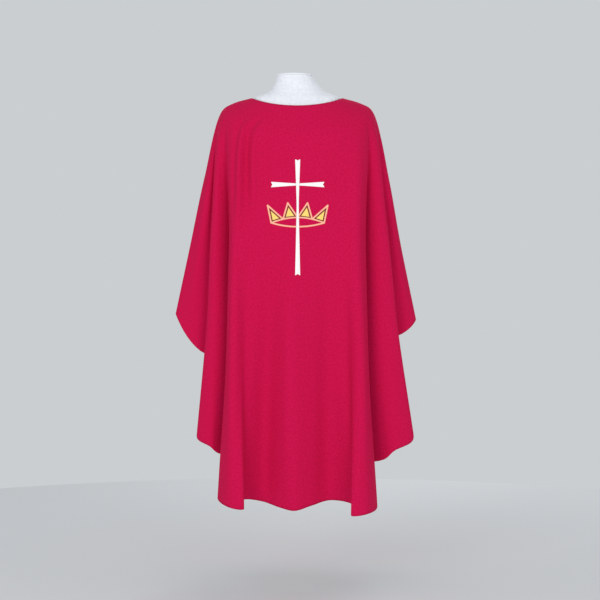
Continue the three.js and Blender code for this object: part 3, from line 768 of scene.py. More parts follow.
@dataclass
class Garment:
    """The cloth panels with their facings and tapes."""

    drape: Drape
    finishes: Finishes
    cloth: float = 1.0 * MM
    facing: float = 0.6 * MM
    gap: float = 0.3 * MM
    neck_facing_depth: float = 0.050
    hem_facing_depth: float = 0.030
    facing_rows: int = 7
    facing_inset: float = 0.4 * MM  # how far the facings keep from the edges of the cloth
    tape_width: float = 0.022
    tape_columns: int = 7
    tape_reach: int = 6  # how many folds on each side of the seam the tape may lie on
    edge_turn: float = 0.6 * MM  # how far the neck's edge is rounded inwards
    flat_width: float = 1.78
    flat_length: float = 1.30
    flat_area: float = 1.42

    def columns_of(self, face: Face) -> np.ndarray:
        """The columns of one panel, both seams included."""
        half = self.drape.columns // 2
        start = 0 if face is Face.FRONT else half
        return (start + np.arange(half + 1)) % self.drape.columns

    def layer(self, points: np.ndarray, normals: np.ndarray, depth: float) -> np.ndarray:
        """A grid moved inwards along its normals."""
        return points - normals * depth

    def at_distances(self, columns: np.ndarray, distances: Callable[[float], np.ndarray]) -> tuple:
        """Sample the cloth down each column.

        Args:
            columns: The columns to sample.
            distances: Gives the distances from the neckline for a column of a length.

        Returns:
            Points, normals and distances down, by column and place.
        """
        points, normals, downs = [], [], []
        for column in columns:
            down = self.drape.down[column]
            wanted = distances(down[-1])
            points.append(points_at(wanted, down, self.drape.points[column]))
            normals.append(points_at(wanted, down, self.drape.normals[column]))
            downs.append(wanted)
        return np.array(points), np.array(normals), np.array(downs)

    def sheet(
        self, name: str, points: np.ndarray, normals: np.ndarray, down: np.ndarray, top: float, wall: float
    ) -> bpy.types.Object:
        """Make a closed sheet that follows the cloth.

        Args:
            name: The piece's name.
            points: Points of the cloth's outer face, by column and row.
            normals: Its outward normals.
            down: The distance of each point from the neckline.
            top: How far the sheet's outer face lies inside the cloth's.
            wall: The sheet's thickness.

        Returns:
            The new object.
        """
        steps = np.linalg.norm(np.diff(points, axis=0), axis=2)
        across = np.concatenate([np.zeros((1, points.shape[1])), np.cumsum(steps, axis=0)])
        outer = self.layer(points, normals, top)
        inner = self.layer(points, normals, top + wall)
        return cloth_shell(name, outer, inner, across - across.mean(axis=0), down)

    def part_at_seams(self, points: np.ndarray) -> np.ndarray:
        """Draw the two seam columns of a panel in by half the gap between the panels."""
        parted = points.copy()
        for edge, beside in ((0, 1), (-1, -2)):
            towards = points[beside] - points[edge]
            towards /= np.linalg.norm(towards, axis=1, keepdims=True)
            parted[edge] = points[edge] + towards * self.gap
        return parted

    def make_panel(self, face: Face) -> bpy.types.Object:
        """Make one cloth panel, with the edge of its neck rounded inwards."""
        columns = self.columns_of(face)
        points = self.part_at_seams(self.drape.points[columns])
        normals = self.drape.normals[columns]
        turned = points.copy()
        turned[:, 0] -= normals[:, 0] * self.edge_turn
        panel = self.sheet(f"{face.word}_cloth", turned, normals, self.drape.down[columns], 0, self.cloth)
        self.finishes.dress(panel, "crimson_cloth")
        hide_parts(f"{face.word}_panel")
        return panel

    def make_facing(self, face: Face, where: str) -> bpy.types.Object:
        """Make the facing inside a panel's neckline or hem.

        Args:
            face: The panel.
            where: "neck" or "hem".

        Returns:
            The facing.
        """
        depth = self.neck_facing_depth if where == "neck" else self.hem_facing_depth
        steps = np.linspace(self.facing_inset, depth, self.facing_rows)

        def distances(length: float) -> np.ndarray:
            """Places from the neckline for a column of this length."""
            return steps if where == "neck" else length - steps[::-1]

        points, normals, down = self.at_distances(self.columns_of(face), distances)
        points = self.part_at_seams(points)
        top = self.cloth + self.gap
        facing = self.sheet(f"{face.word}_{where}_facing_cloth", points, normals, down, top, self.facing)
        self.finishes.dress(facing, "crimson_facing")
        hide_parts(f"{face.word}_{where}_facing")
        return facing

    def make_tape(self, side: Side) -> bpy.types.Object:
        """Make the stay tape inside a shoulder seam, of even width from neck to hem facing."""
        drape = self.drape
        seam = drape.seam[side]
        offsets = np.linspace(-0.5, 0.5, self.tape_columns) * self.tape_width
        reach = self.tape_reach * drape.columns_per_fold
        near = (seam + np.arange(-reach, reach + 1)) % drape.columns
        down = drape.down[seam]
        rows = [
            row for row in range(drape.rows)
            if self.neck_facing_depth + MM < down[row] < down[-1] - self.hem_facing_depth - MM
        ]
        points, normals = [], []
        for row in rows:
            around = running_length(drape.points[near, row])
            around -= around[reach]
            points.append(points_at(offsets, around, drape.points[near, row]))
            normals.append(points_at(offsets, around, drape.normals[near, row]))
        grid = np.array(points).transpose(1, 0, 2)
        facing = np.array(normals).transpose(1, 0, 2)
        distance = np.tile(down[rows], (len(offsets), 1))
        tape = self.sheet(
            f"{side.word}_stay_tape", grid, facing, distance, self.cloth + self.gap, self.facing
        )
        self.finishes.dress(tape, "crimson_facing")
        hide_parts(f"{side.word}_shoulder_tape")
        return tape

    def build(self) -> list[bpy.types.Object]:
        made = []
        for face in Face:
            panel = self.make_panel(face)
            facings = [self.make_facing(face, where) for where in ("neck", "hem")]
            made += [panel, *facings]
        made += [self.make_tape(side) for side in Side]
        for piece in made:
            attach(piece, Body.GARMENT.value)
        return made


# ---- Embroidery ---------------------------------------------------------------------------------


def set_stitch_map(piece: bpy.types.Object, path: Sequence[Vector]) -> None:
    """Map a piece in metres along and across the line that its stitches cross.

    Args:
        piece: The embroidered piece.
        path: The line, as (across, up) points.
    """
    mesh = piece.data
    points = mesh_points(piece)[:, [0, 2]]
    best = np.full(len(points), np.inf)
    places = np.zeros((len(points), 2))
    start = 0.0
    for a, b in zip(path[:-1], path[1:]):
        step = np.array(b) - np.array(a)
        length = float(np.linalg.norm(step))
        unit = step / length
        offset = points - np.array(a)
        along = offset @ unit
        side = offset @ np.array([-unit[1], unit[0]])
        away = np.abs(side) + np.maximum(0, np.maximum(-along, along - length))
        closer = away < best
        places[closer] = np.stack([start + along, side], axis=1)[closer]
        best = np.minimum(best, away)
        start += length
    layer = mesh.uv_layers.new(name="stitch")
    corners = np.empty(len(mesh.loops), dtype=int)
    mesh.loops.foreach_get("vertex_index", corners)
    layer.data.foreach_set("uv", places[corners].ravel())


@dataclass
class Embroidery:
    """The cross and crown in raised satin stitch on the chest, and the backing behind them."""

    drape: Drape
    finishes: Finishes
    centre: float = 0.002
    cross_top: float = -0.205
    cross_height: float = 0.350
    cross_span: float = 0.160
    arm_level: float = -0.281
    end_half_width: float = 8.3 * MM
    waist_half_width: float = 3.5 * MM
    waist_share: float = 0.39
    slimness: float = 0.92  # how much slimmer the upright is than the arms
    notch: float = 5 * MM
    crown_half_width: float = 0.091
    crown_base_half_width: float = 0.080
    peak_offset: float = 0.030
    valley_offset: float = 0.044
    peak_level: float = -0.337
    tip_level: float = -0.344
    corner_level: float = -0.397
    rim_rise: float = 16 * MM
    rim_sag: float = 12 * MM
    line: float = 5.0 * MM
    line_overrun: float = 0.3  # how far the crown's lines run past their ends, as a share of a line
    line_depth: float = 1.5  # how thick a line is from front to back, as a multiple of the puff
    fill_clearance: float = 0.6 * MM
    fill_height: float = 0.8  # how high the gold fills stand, as a share of the puff
    fill_wall: float = 0.3 * MM
    upright_gap: float = 0.5 * MM  # between the upright and what stops beside it
    lift: float = 0.25 * MM
    puff: float = 1.3 * MM
    half_puff: float = 0.72  # how high a limb stands halfway to its edges, as a share of its middle
    limb_wall: float = 0.4 * MM
    limb_steps: int = 8
    flare_power: float = 1.15  # how late a limb widens towards its end
    rim_steps: int = 12
    shaded_rim: float = 3.8 * MM  # the width of the sloped rim round a gold fill, on which shade is painted

    def limb_half_width(self, share: float) -> float:
        """Half the width of a limb, a share of the way from its waist to its end."""
        flare = self.end_half_width - self.waist_half_width
        return self.waist_half_width + flare * share ** self.flare_power

    def lay_on_cloth(self, piece: bpy.types.Object) -> None:
        """Lower a flat piece on to the chest, keeping each point's height above it."""
        points = mesh_points(piece)
        for point in points:
            point[1] += self.drape.front_depth(point[0], point[2]) - self.lift
        set_mesh_points(piece, points)

    def finish_piece(self, piece: bpy.types.Object, node: str, slot: str) -> bpy.types.Object:
        """Lay down, dress and place one embroidered piece."""
        self.lay_on_cloth(piece)
        smooth(piece)
        piece.name = f"{node}_stitching"
        self.finishes.dress(piece, slot)
        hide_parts(node)
        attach(piece, Body.GARMENT.value)
        return piece

    def make_limb(
        self, node: str, start: Vector, end: Vector, half_widths: Sequence[float], notches: Sequence[float]
    ) -> bpy.types.Object:
        """Make one limb of the cross as a padded strip with flared, notched ends.

        Args:
            node: The CAD node that the limb replaces.
            start: Where the limb starts, across and up.
            end: Where it ends.
            half_widths: Half its width at even steps from start to end.
            notches: How deep its start and its end are notched.

        Returns:
            The new piece.
        """
        length = (end - start).length
        middle = (start + end) / 2
        turn = math.atan2(end.y - start.y, end.x - start.x)
        rows = len(half_widths) - 1
        deselect_all()
        bpy.ops.mesh.primitive_grid_add(x_subdivisions=rows, y_subdivisions=4, size=1)
        piece = bpy.context.object
        # The strip lies along its own X until it is turned to stand in front of the chest
        bpy.ops.object.mode_set(mode="EDIT")
        bpy.ops.transform.resize(value=(length, 1, 1))
        for row, half_width in enumerate(half_widths):
            x = (row / rows - 0.5) * length
            select_vertices(piece, lambda co, x=x: abs(co.x - x) < 1e-5)
            bpy.ops.transform.resize(value=(1, 2 * half_width, 1), center_override=(x, 0, 0))
        for share, height in ((0.0, 1.0), (0.5, self.half_puff)):
            self.raise_row(piece, half_widths, length, share, self.puff * height)
        for x, depth in ((-length / 2, notches[0]), (length / 2, -notches[1])):
            select_vertices(piece, lambda co, x=x: abs(co.x - x) < 1e-5 and abs(co.y) < 1e-5)
            bpy.ops.transform.translate(value=(depth, 0, 0))
        bpy.ops.object.mode_set(mode="OBJECT")
        apply_modifier(piece, "SUBSURF", levels=3, render_levels=3, boundary_smooth="PRESERVE_CORNERS")
        apply_modifier(piece, "SOLIDIFY", thickness=self.limb_wall, offset=-1)
        piece.rotation_euler = (math.pi / 2, 0, 0)
        fix_place(piece)
        piece.rotation_euler = (0, -turn, 0)
        piece.location = (middle.x, 0, middle.y)
        fix_place(piece)
        set_stitch_map(piece, [start, end])
        return self.finish_piece(piece, node, "white_satin_stitch")

    def raise_row(
        self,
        piece: bpy.types.Object,
        half_widths: Sequence[float],
        length: float,
        share: float,
        height: float,
    ) -> None:
        """Raise the two lines of a strip that lie a share of the way from its middle to its edges.

        Args:
            piece: The strip, in edit mode.
            half_widths: Half its width at even steps along it.
            length: Its length.
            share: Where the lines lie, from 0 in its middle to 1 at its edges.
            height: How far they are raised.
        """
        rows = len(half_widths) - 1

        def chosen(co: Vector) -> bool:
            """Whether a vertex lies on those lines."""
            row = round((co.x / length + 0.5) * rows)
            return abs(abs(co.y) - share * half_widths[row]) < 1e-5

        select_vertices(piece, chosen)
        bpy.ops.transform.translate(value=(0, 0, height))

    def make_cross(self) -> list[bpy.types.Object]:
        """Make the upright and the two arms."""
        bottom = self.cross_top - self.cross_height
        upper, lower = Vector((self.centre, self.cross_top)), Vector((self.centre, bottom))
        steps = 4 * self.limb_steps
        levels = [self.cross_top - self.cross_height * step / steps for step in range(steps + 1)]
        widths = [self.upright_half_width(level) for level in levels]
        made = [self.make_limb("cross_upright", upper, lower, widths, (self.notch, self.notch))]
        for side in Side:
            half_width = self.upright_half_width(self.arm_level)
            beside = self.centre + side.value * (half_width + self.upright_gap)
            tip = self.centre + side.value * self.cross_span / 2
            widths = [self.limb_half_width(step / self.limb_steps) for step in range(self.limb_steps + 1)]
            start, end = Vector((beside, self.arm_level)), Vector((tip, self.arm_level))
            made.append(self.make_limb(f"cross_arm_{side.word}", start, end, widths, (0, self.notch)))
        return made

    def upright_half_width(self, level: float) -> float:
        """Half the width of the upright at a level."""
        waist = self.cross_top - self.waist_share * self.cross_height
        end = self.cross_top if level > waist else self.cross_top - self.cross_height
        return self.slimness * self.limb_half_width((level - waist) / (end - waist))

    def crown_points(self, side: Side) -> list[Vector]:
        """The outline of one side of the crown, from its lower corner to the middle."""
        spots = [
            (self.crown_base_half_width, self.corner_level),
            (self.crown_half_width, self.tip_level),
            (self.valley_offset, self.rim_level(self.valley_offset, self.rim_rise)),
            (self.peak_offset, self.peak_level),
            (0, self.rim_level(0, self.rim_rise)),
        ]
        return [Vector((self.centre + side.value * offset, level)) for offset, level in spots]

    def rim_level(self, offset: float, bulge: float) -> float:
        """The level of a rim line at a distance from the crown's centre."""
        return self.corner_level + bulge * (1 - (offset / self.crown_base_half_width) ** 2)

    def rim_points(self, side: Side, bulge: float) -> list[Vector]:
        """Points of one side of a rim line, from the corner to the middle."""
        steps = self.rim_steps
        offsets = [self.crown_base_half_width * (1 - step / steps) for step in range(steps + 1)]
        return [
            Vector((self.centre + side.value * offset, self.rim_level(offset, bulge)))
            for offset in offsets
        ]

    def stop_beside_upright(self, points: list[Vector]) -> list[Vector]:
        """Shorten a line's last stretch so that it stops beside the upright."""
        last, before = points[-1], points[-2]
        half_width = self.upright_half_width(last.y) + self.upright_gap
        share = (abs(before.x - self.centre) - half_width) / abs(before.x - last.x)
        return [*points[:-1], before.lerp(last, share)]

    def past_ends(self, start: Vector, end: Vector) -> list[Vector]:
        """A stretch of line that runs on a little past both its ends, to meet the next in a point."""
        step = (end - start).normalized() * self.line * self.line_overrun
        return [start - step, end + step]

    def make_line(self, points: list[Vector]) -> bpy.types.Object:
        """Make a raised line of satin stitch along points.

        Args:
            points: The line, across and up.

        Returns:
            The new piece, flat and mapped but not yet laid on the cloth.
        """
        deselect_all()
        bpy.ops.curve.primitive_nurbs_path_add()
        piece = bpy.context.object
        curve = piece.data
        curve.splines.clear()
        spline = curve.splines.new("POLY")
        spline.points.add(len(points) - 1)
        for spot, point in zip(spline.points, points):
            spot.co = (point.x, 0, point.y, 1)
        curve.dimensions = "3D"
        curve.twist_mode = "Z_UP"
        curve.bevel_depth = self.line / 2
        curve.bevel_resolution = 3
        curve.use_fill_caps = True
        activate(piece)
        bpy.ops.object.convert(target="MESH")
        piece = bpy.context.object
        flat = mesh_points(piece)
        flat[:, 1] *= self.puff / self.line * self.line_depth
        set_mesh_points(piece, flat)
        self.split_long_faces(piece)
        set_stitch_map(piece, points)
        return piece

    def make_outline(self, node: str, runs: list[list[Vector]]) -> bpy.types.Object:
        """Make one side of the crown's line stitching, its runs joined where they meet.

        Args:
            node: The CAD node that the stitching replaces.
            runs: The zigzag and the rim lines, across and up.

        Returns:
            The new piece.
        """
        lines = [self.make_line(run) for run in runs]
        deselect_all()
        for line in lines:
            line.select_set(True)
        bpy.context.view_layer.objects.active = lines[0]
        bpy.ops.object.join()
        return self.finish_piece(bpy.context.object, node, "peach_gold_stitch")

    def split_long_faces(self, piece: bpy.types.Object) -> None:
        """Divide a piece's long edges so that it can follow the curve of the chest."""
        activate(piece)
        bpy.ops.object.mode_set(mode="EDIT")
        bpy.ops.mesh.select_all(action="SELECT")
        bpy.ops.mesh.subdivide(number_cuts=2)
        bpy.ops.object.mode_set(mode="OBJECT")

    def make_fill(self, node: str, corners: list[Vector]) -> bpy.types.Object:
        """Make the gold fill of one point of the crown as a low padded triangle.

        Args:
            node: The CAD node that the fill replaces.
            corners: The outline points round it, across and up.

        Returns:
            The new piece.
        """
        drawn = self.inset_triangle(corners, self.line / 2 + self.fill_clearance)
        centre = sum(drawn, Vector((0, 0))) / 3
        deselect_all()
        bpy.ops.mesh.primitive_circle_add(vertices=3, radius=1, fill_type="TRIFAN")
        piece = bpy.context.object
        places = mesh_points(piece)
        rim = [i for i, point in enumerate(places) if np.hypot(point[0], point[1]) > 0.5]
        for index, corner in zip(rim, drawn):
            places[index] = (corner.x, 0, corner.y)
        for index in set(range(len(places))) - set(rim):
            places[index] = (centre.x, 0, centre.y)
        set_mesh_points(piece, places)
        bpy.ops.object.mode_set(mode="EDIT")
        bpy.ops.mesh.select_all(action="SELECT")
        bpy.ops.mesh.inset(thickness=self.shaded_rim, depth=0)
        bpy.ops.transform.translate(value=(0, -self.puff * self.fill_height, 0))
        bpy.ops.mesh.select_all(action="SELECT")
        bpy.ops.mesh.subdivide(number_cuts=4)
        bpy.ops.mesh.normals_make_consistent(inside=False)
        bpy.ops.object.mode_set(mode="OBJECT")
        self.face_forward(piece)
        self.mark_shaded_rim(piece)
        apply_modifier(piece, "SOLIDIFY", thickness=self.fill_wall, offset=-1)
        top = max(corners, key=lambda corner: corner.y)
        set_stitch_map(piece, [top, centre * 2 - top])
        return self.finish_piece(piece, node, "gold_satin_stitch")

    def mark_shaded_rim(self, piece: bpy.types.Object) -> None:
        """Write how close each vertex of a fill is to its edge, from 1 on it to 0 past the shaded rim."""
        height = -mesh_points(piece)[:, 1] / (self.puff * self.fill_height)
        attribute = piece.data.attributes.new("shaded_rim", "FLOAT", "POINT")
        attribute.data.foreach_set("value", 1 - height)

    def face_forward(self, piece: bpy.types.Object) -> None:
        """Turn an open piece's faces round if they look back into the cloth."""
        if sum(face.normal.y for face in piece.data.polygons) > 0:
            piece.data.flip_normals()

    def inset_triangle(self, corners: list[Vector], distance: float) -> list[Vector]:
        """A triangle drawn in on all three sides by the same distance."""
        lengths = [(corners[(i + 1) % 3] - corners[(i + 2) % 3]).length for i in range(3)]
        perimeter = sum(lengths)
        weighted = [corner * length for corner, length in zip(corners, lengths)]
        centre = sum(weighted, Vector((0, 0))) / perimeter
        (ax, ay), (bx, by), (cx, cy) = corners
        area = abs((bx - ax) * (cy - ay) - (cx - ax) * (by - ay)) / 2
        share = 1 - distance * perimeter / (2 * area)
        return [centre.lerp(corner, share) for corner in corners]

    def make_crown(self) -> list[bpy.types.Object]:
        """Make the outline, rim lines and gold points of the crown."""
        made = []
        for side in Side:
            crown = self.crown_points(side)
            corner, tip, valley, peak, middle = crown
            zigzag = self.stop_beside_upright(crown)
            rims = [self.rim_points(side, bulge) for bulge in (self.rim_rise, -self.rim_sag)]
            runs = [self.past_ends(start, end) for start, end in zip(zigzag, zigzag[1:])]
            runs += [self.stop_beside_upright(rim) for rim in rims]
            made.append(self.make_outline(f"crown_outline_{side.word}", runs))
            made.append(self.make_fill(f"crown_side_point_{side.word}", [corner, tip, valley]))
            made.append(self.make_fill(f"crown_middle_point_{side.word}", [valley, peak, middle]))
        return made

    def build(self) -> list[bpy.types.Object]:
        """Make the whole motif."""
        return self.make_cross() + self.make_crown()


# ---- Backing ------------------------------------------------------------------------------------


@dataclass
class Backing:
    """The fleece sewn behind the motif, inside the front."""

    drape: Drape
    finishes: Finishes
    depth: float = 1.4 * MM
    wall: float = 0.6 * MM
    steps: int = 28

    def build(self) -> bpy.types.Object:
        """Make the backing as a thin sheet behind the chest, where its CAD node lies."""
        low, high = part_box("embroidery_backing")
        across = np.linspace(low[0], high[0], self.steps)
        up = np.linspace(high[2], low[2], 2 * self.steps)
        spots = np.array([[(x, self.drape.front_depth(x, z), z) for z in up] for x in across])
        outer = spots + np.array([0, self.depth, 0])
        inner = outer + np.array([0, self.wall, 0])
        piece = cloth_shell("backing_fleece_sheet", outer, inner, spots[..., 0], spots[..., 2])
        self.finishes.dress(piece, "white_backing")
        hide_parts("embroidery_backing")
        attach(piece, Body.GARMENT.value)
        return piece


# ---- Collar -------------------------------------------------------------------------------------


Ring = tuple[float, float, float]  # an oval's half width, half depth and level
Step = tuple[float, float, float]  # how much wider, deeper and lower one oval is than another


@dataclass
class Collar:
    """The loose white collar: a standing band, a flared yoke below it and a rolled top edge."""

    finishes: Finishes
    wall: float = 2.0 * MM
    top_half_width: float = 0.058
    top_half_depth: float = 0.052
    height: float = 0.066
    foot_half_width: float = 0.078
    foot_half_depth: float = 0.062
    foot_level: float = 0.029
    swell: Step = (1.5 * MM, 1.5 * MM, 8 * MM)  # from the stand's top to where it swells below it
    tuck: Step = (-4 * MM, -3 * MM, -7 * MM)  # from the stand's foot to where it is drawn in above
    inset: float = 1.5 * MM  # how far the yoke's top edge lies inside the stand's foot
    flare: tuple[Step, ...] = (  # from the stand's foot to the upper ovals of the yoke
        (0.3 * MM, 0.3 * MM, 0),
        (8 * MM, 4 * MM, 9 * MM),
        (24 * MM, 10 * MM, 16 * MM),
    )
    brim: tuple[Ring, ...] = ((0.121, 0.077, 0.008), (0.134, 0.083, -0.001), (0.137, 0.086, -0.014))
    yoke_dips: tuple[float, ...] = (1, 0.95, 0.5)  # the share of the dip at the yoke's last levels
    roll: float = 2.6 * MM
    roll_gap: float = 0.3 * MM  # between the roll and the stand's top
    roll_inset: float = 1.2 * MM  # how far the roll's middle lies inside the stand's outer face
    lean: float = -7 * MM  # how far the stand leans across by its top
    lean_reach: float = 1.2  # the lean goes on to this share of the stand's height
    overlap: float = 1.5 * MM  # how far the stand and the yoke cover each other at their seam
    front_dip: float = 0.035
    back_dip: float = 0.006
    dip_power: float = 1.5  # how closely the dip keeps to the middle of front and back
    stand_dip: float = 0.3  # the share of the dip that the stand's foot follows
    narrowing: float = 0.62  # how far the stand's middle is on from its foot's size to its top's
    middle: float = 0.45  # how far up the stand its middle is
    wrinkles_across: float = 26  # per metre, as is the next
    wrinkles_up: float = 34
    stand_crumple: float = 1.6 * MM
    yoke_crumple: float = 1.2 * MM
    roll_crumple: float = 0.8 * MM
    bevel: float = 0.5 * MM
    sides: int = 64

    @property
    def foot(self) -> Ring:
        """The oval at the stand's foot."""
        return (self.foot_half_width, self.foot_half_depth, self.foot_level)

    def stepped(self, start: Ring, step: Step) -> Ring:
        """The oval that is a step wider, deeper and lower than another."""
        return (start[0] + step[0], start[1] + step[1], start[2] - step[2])

    def ring(self, half_width: float, half_depth: float, level: float) -> bpy.types.Object:
        """Start a piece as an open oval ring of vertices at its size and place."""
        deselect_all()
        bpy.ops.mesh.primitive_circle_add(
            vertices=self.sides, radius=1, fill_type="NOTHING", location=(0, 0, level)
        )
        piece = bpy.context.object
        piece.scale = (half_width, half_depth, 1)
        fix_place(piece)
        return piece

    def extrude_rings(self, piece: bpy.types.Object, rings: Sequence[Ring]) -> None:
        """Extrude the open edge of a piece through more ovals.

        Args:
            piece: The piece, with its last ring to be extruded.
            rings: Half width, half depth and level of each oval.
        """
        activate(piece)
        bpy.ops.object.mode_set(mode="EDIT")
        bpy.ops.mesh.select_all(action="SELECT")
        low, high = self.extent(piece)
        width, depth, level = high.x, high.y, high.z
        for half_width, half_depth, ring_level in rings:
            bpy.ops.mesh.extrude_region_move(TRANSFORM_OT_translate={"value": (0, 0, ring_level - level)})
            stretch = (half_width / width, half_depth / depth, 1)
            bpy.ops.transform.resize(value=stretch, center_override=(0, 0, 0))
            width, depth, level = half_width, half_depth, ring_level
        bpy.ops.object.mode_set(mode="OBJECT")

    def extent(self, piece: bpy.types.Object) -> tuple[Vector, Vector]:
        """The lowest and highest corner of a piece."""
        points = mesh_points(piece)
        return Vector(points.min(axis=0)), Vector(points.max(axis=0))

    def follow_dip(self, piece: bpy.types.Object, share_at: Callable[[float], float]) -> None:
        """Let the collar sink at front and back as the neckline does.

        Args:
            piece: The piece to lower.
            share_at: How much of the dip is followed at a level.
        """
        points = mesh_points(piece)
        for point in points:
            forward = -point[1] / max(math.hypot(point[0], point[1]), 1e-6)
            dip = (self.front_dip if forward > 0 else self.back_dip) * abs(forward) ** self.dip_power
            point[2] -= share_at(point[2]) * dip
        set_mesh_points(piece, points)

    def soften(self, piece: bpy.types.Object, amount: float) -> None:
        """Give a piece the slight unevenness of washed linen, and its lean."""
        points = mesh_points(piece)
        rise = (points[:, 2] - self.foot_level) / (self.height - self.foot_level)
        points[:, 0] += self.lean * np.clip(rise, 0, self.lean_reach)
        frequency = np.array([self.wrinkles_across, self.wrinkles_across, self.wrinkles_up])
        for point in points:
            push = amount * noise.noise(Vector(point * frequency))
            outward = np.array([point[0], point[1], 0])
            point += outward / np.linalg.norm(outward) * push
        set_mesh_points(piece, points)

    def close(self, piece: bpy.types.Object, node: str) -> bpy.types.Object:
        """Give the piece its wall, smooth it, dress it and put it on the collar's body."""
        activate(piece)
        bpy.ops.object.mode_set(mode="EDIT")
        bpy.ops.mesh.select_all(action="SELECT")
        bpy.ops.mesh.normals_make_consistent(inside=False)
        bpy.ops.object.mode_set(mode="OBJECT")
        apply_modifier(piece, "SOLIDIFY", thickness=self.wall, offset=-1)
        apply_modifier(piece, "BEVEL", width=self.bevel, segments=2, limit_method="ANGLE")
        apply_modifier(piece, "SUBSURF", levels=1, render_levels=1)
        smooth(piece)
        piece.name = f"{node}_linen"
        self.finishes.dress(piece, "white_linen")
        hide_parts(node)
        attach(piece, Body.COLLAR.value)
        return piece

    def make_stand(self) -> bpy.types.Object:
        """Make the standing band."""
        piece = self.ring(self.top_half_width, self.top_half_depth, self.height)
        narrow, rise = self.narrowing, self.middle
        top = (self.top_half_width, self.top_half_depth, self.height)
        rings = [
            self.stepped(top, self.swell),
            (
                self.foot_half_width * (1 - narrow) + self.top_half_width * narrow,
                self.foot_half_depth * (1 - narrow) + self.top_half_depth * narrow,
                self.foot_level * (1 - rise) + self.height * rise,
            ),
            self.stepped(self.foot, self.tuck),
            self.stepped(self.foot, (0, 0, self.overlap)),
        ]
        self.extrude_rings(piece, rings)
        tall = self.height - self.foot_level
        self.follow_dip(piece, lambda level: self.stand_dip * (self.height - level) / tall)
        self.soften(piece, self.stand_crumple)
        return self.close(piece, "collar_stand")

    def make_yoke(self) -> bpy.types.Object:
        """Make the flared yoke, which tucks below the neckline."""
        top = self.foot_level + self.overlap
        piece = self.ring(self.foot_half_width - self.inset, self.foot_half_depth - self.inset, top)
        flared = [self.stepped(self.foot, step) for step in self.flare]
        self.extrude_rings(piece, [*flared, *self.brim])
        levels = (self.brim[2][2], self.brim[1][2], flared[2][2], self.foot_level)
        shares = (*self.yoke_dips, self.stand_dip)
        self.follow_dip(piece, lambda level: np.interp(level, levels, shares))
        self.soften(piece, self.yoke_crumple)
        return self.close(piece, "collar_yoke")

    def make_edge(self) -> bpy.types.Object:
        """Make the soft roll that finishes the top."""
        deselect_all()
        level = self.height + self.roll_gap + self.roll
        bpy.ops.mesh.primitive_torus_add(
            major_segments=96, minor_segments=12,
            major_radius=1, minor_radius=self.roll / self.top_half_width,
            location=(0, 0, level),
        )
        piece = bpy.context.object
        half_width, half_depth = self.top_half_width - self.roll_inset, self.top_half_depth - self.roll_inset
        piece.scale = (half_width, half_depth, self.top_half_width)
        fix_place(piece)
        self.soften(piece, self.roll_crumple)
        smooth(piece)
        piece.name = "collar_edge_linen"
        self.finishes.dress(piece, "white_linen")
        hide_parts("collar_edge")
        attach(piece, Body.COLLAR.value)
        return piece

    def build(self) -> list[bpy.types.Object]:
        """Make the three pieces of the collar."""
        return [self.make_stand(), self.make_yoke(), self.make_edge()]


# ---- Studio -------------------------------------------------------------------------------------


@dataclass(frozen=True)
class Lamp:
    """A square soft light: where it hangs, how wide it is and its power in watts."""

    place: tuple[float, float, float]
    size: float
    power: float


LAMPS = {
    "key_light": Lamp((-2.0, -3.9, 0.1), 1.6, 60),
    "fill_light": Lamp((1.7, -4.2, -0.3), 1.6, 50),
    "back_light": Lamp((0.8, 3.4, 1.2), 1.8, 40),
}


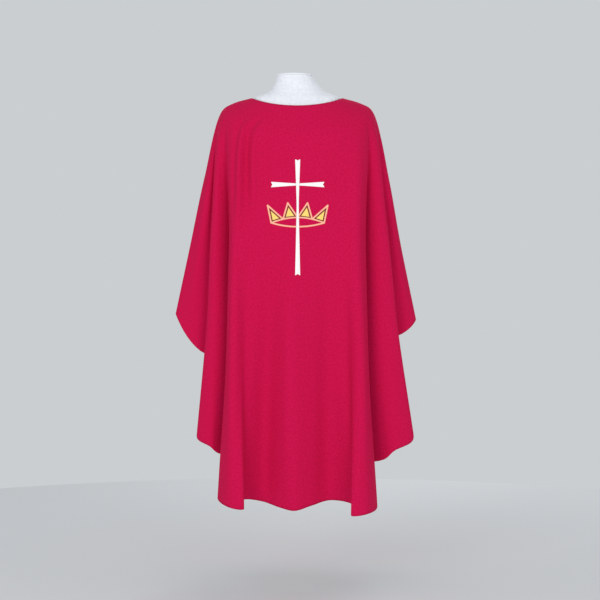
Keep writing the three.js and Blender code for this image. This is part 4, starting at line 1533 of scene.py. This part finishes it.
@dataclass
class Studio:
    """A pale floor, soft lights and a level camera in front of the garment."""

    distance: float = 4.6
    eye_level: float = -0.63
    aside: float = 0.009
    scale_m_per_frame: float = 1.872  # what the frame takes in at the garment's centre plane
    floor_level: float = -1.5
    floor_radius: float = 2.6
    floor_colour: tuple[float, ...] = (0.65, 0.66, 0.67, 1)  # linear
    lit_level: float = -0.55  # the level on the garment that the lamps face
    backdrop: str = "CACED1"

    def camera(self) -> None:
        """Put the camera in front, level with the middle of the garment."""
        data = bpy.data.cameras.new("camera")
        data.lens = data.sensor_width * self.distance / self.scale_m_per_frame
        camera = bpy.data.objects.new("camera", data)
        camera.location = (self.aside, -self.distance, self.eye_level)
        camera.rotation_euler = (math.pi / 2, 0, 0)
        bpy.context.collection.objects.link(camera)
        bpy.context.scene.camera = camera

    def floor(self) -> None:
        """Add a plain pale floor."""
        deselect_all()
        bpy.ops.mesh.primitive_circle_add(
            vertices=96, radius=self.floor_radius, fill_type="NGON", location=(0, 0, self.floor_level)
        )
        floor = bpy.context.object
        floor.name = "studio_floor"
        material, shader = blank_material("pale_floor", Roughness=0.95, Specular_IOR_Level=0.1)
        shader.inputs["Base Color"].default_value = self.floor_colour
        floor.data.materials.append(material)

    def hang(self, name: str, lamp: Lamp) -> None:
        """Add a soft light that faces the garment."""
        data = bpy.data.lights.new(name, "AREA")
        data.size = lamp.size
        data.energy = lamp.power
        light = bpy.data.objects.new(name, data)
        light.location = lamp.place
        towards = Vector((0, 0, self.lit_level)) - Vector(lamp.place)
        light.rotation_euler = towards.to_track_quat("-Z", "Y").to_euler()
        bpy.context.collection.objects.link(light)

    def build(self) -> None:
        """Set up the camera, the floor, the sky and the lights."""
        self.camera()
        self.floor()
        world = bpy.data.worlds.new("studio_sky")
        world.use_nodes = True
        sky = world.node_tree.nodes["Background"]
        sky.inputs["Color"].default_value = linear_colour(self.backdrop)
        sky.inputs["Strength"].default_value = 1.0
        bpy.context.scene.world = world
        for name, lamp in LAMPS.items():
            self.hang(name, lamp)
        bpy.context.scene.view_settings.view_transform = "Standard"


def main() -> None:
    """Build the garment, its embroidery, its collar and the studio."""
    logging.basicConfig(level=logging.INFO, format="%(name)s: %(message)s")
    Studio().build()
    finishes = Finishes()
    drape = Drape()
    garment = Garment(drape, finishes).build()
    embroidery = Embroidery(drape, finishes).build()
    backing = Backing(drape, finishes).build()
    collar = Collar(finishes).build()
    for piece in [*garment, *embroidery, backing, *collar]:
        LOG.info("%s: %d faces", piece.name, len(piece.data.polygons))


if __name__ == "__main__":
    main()
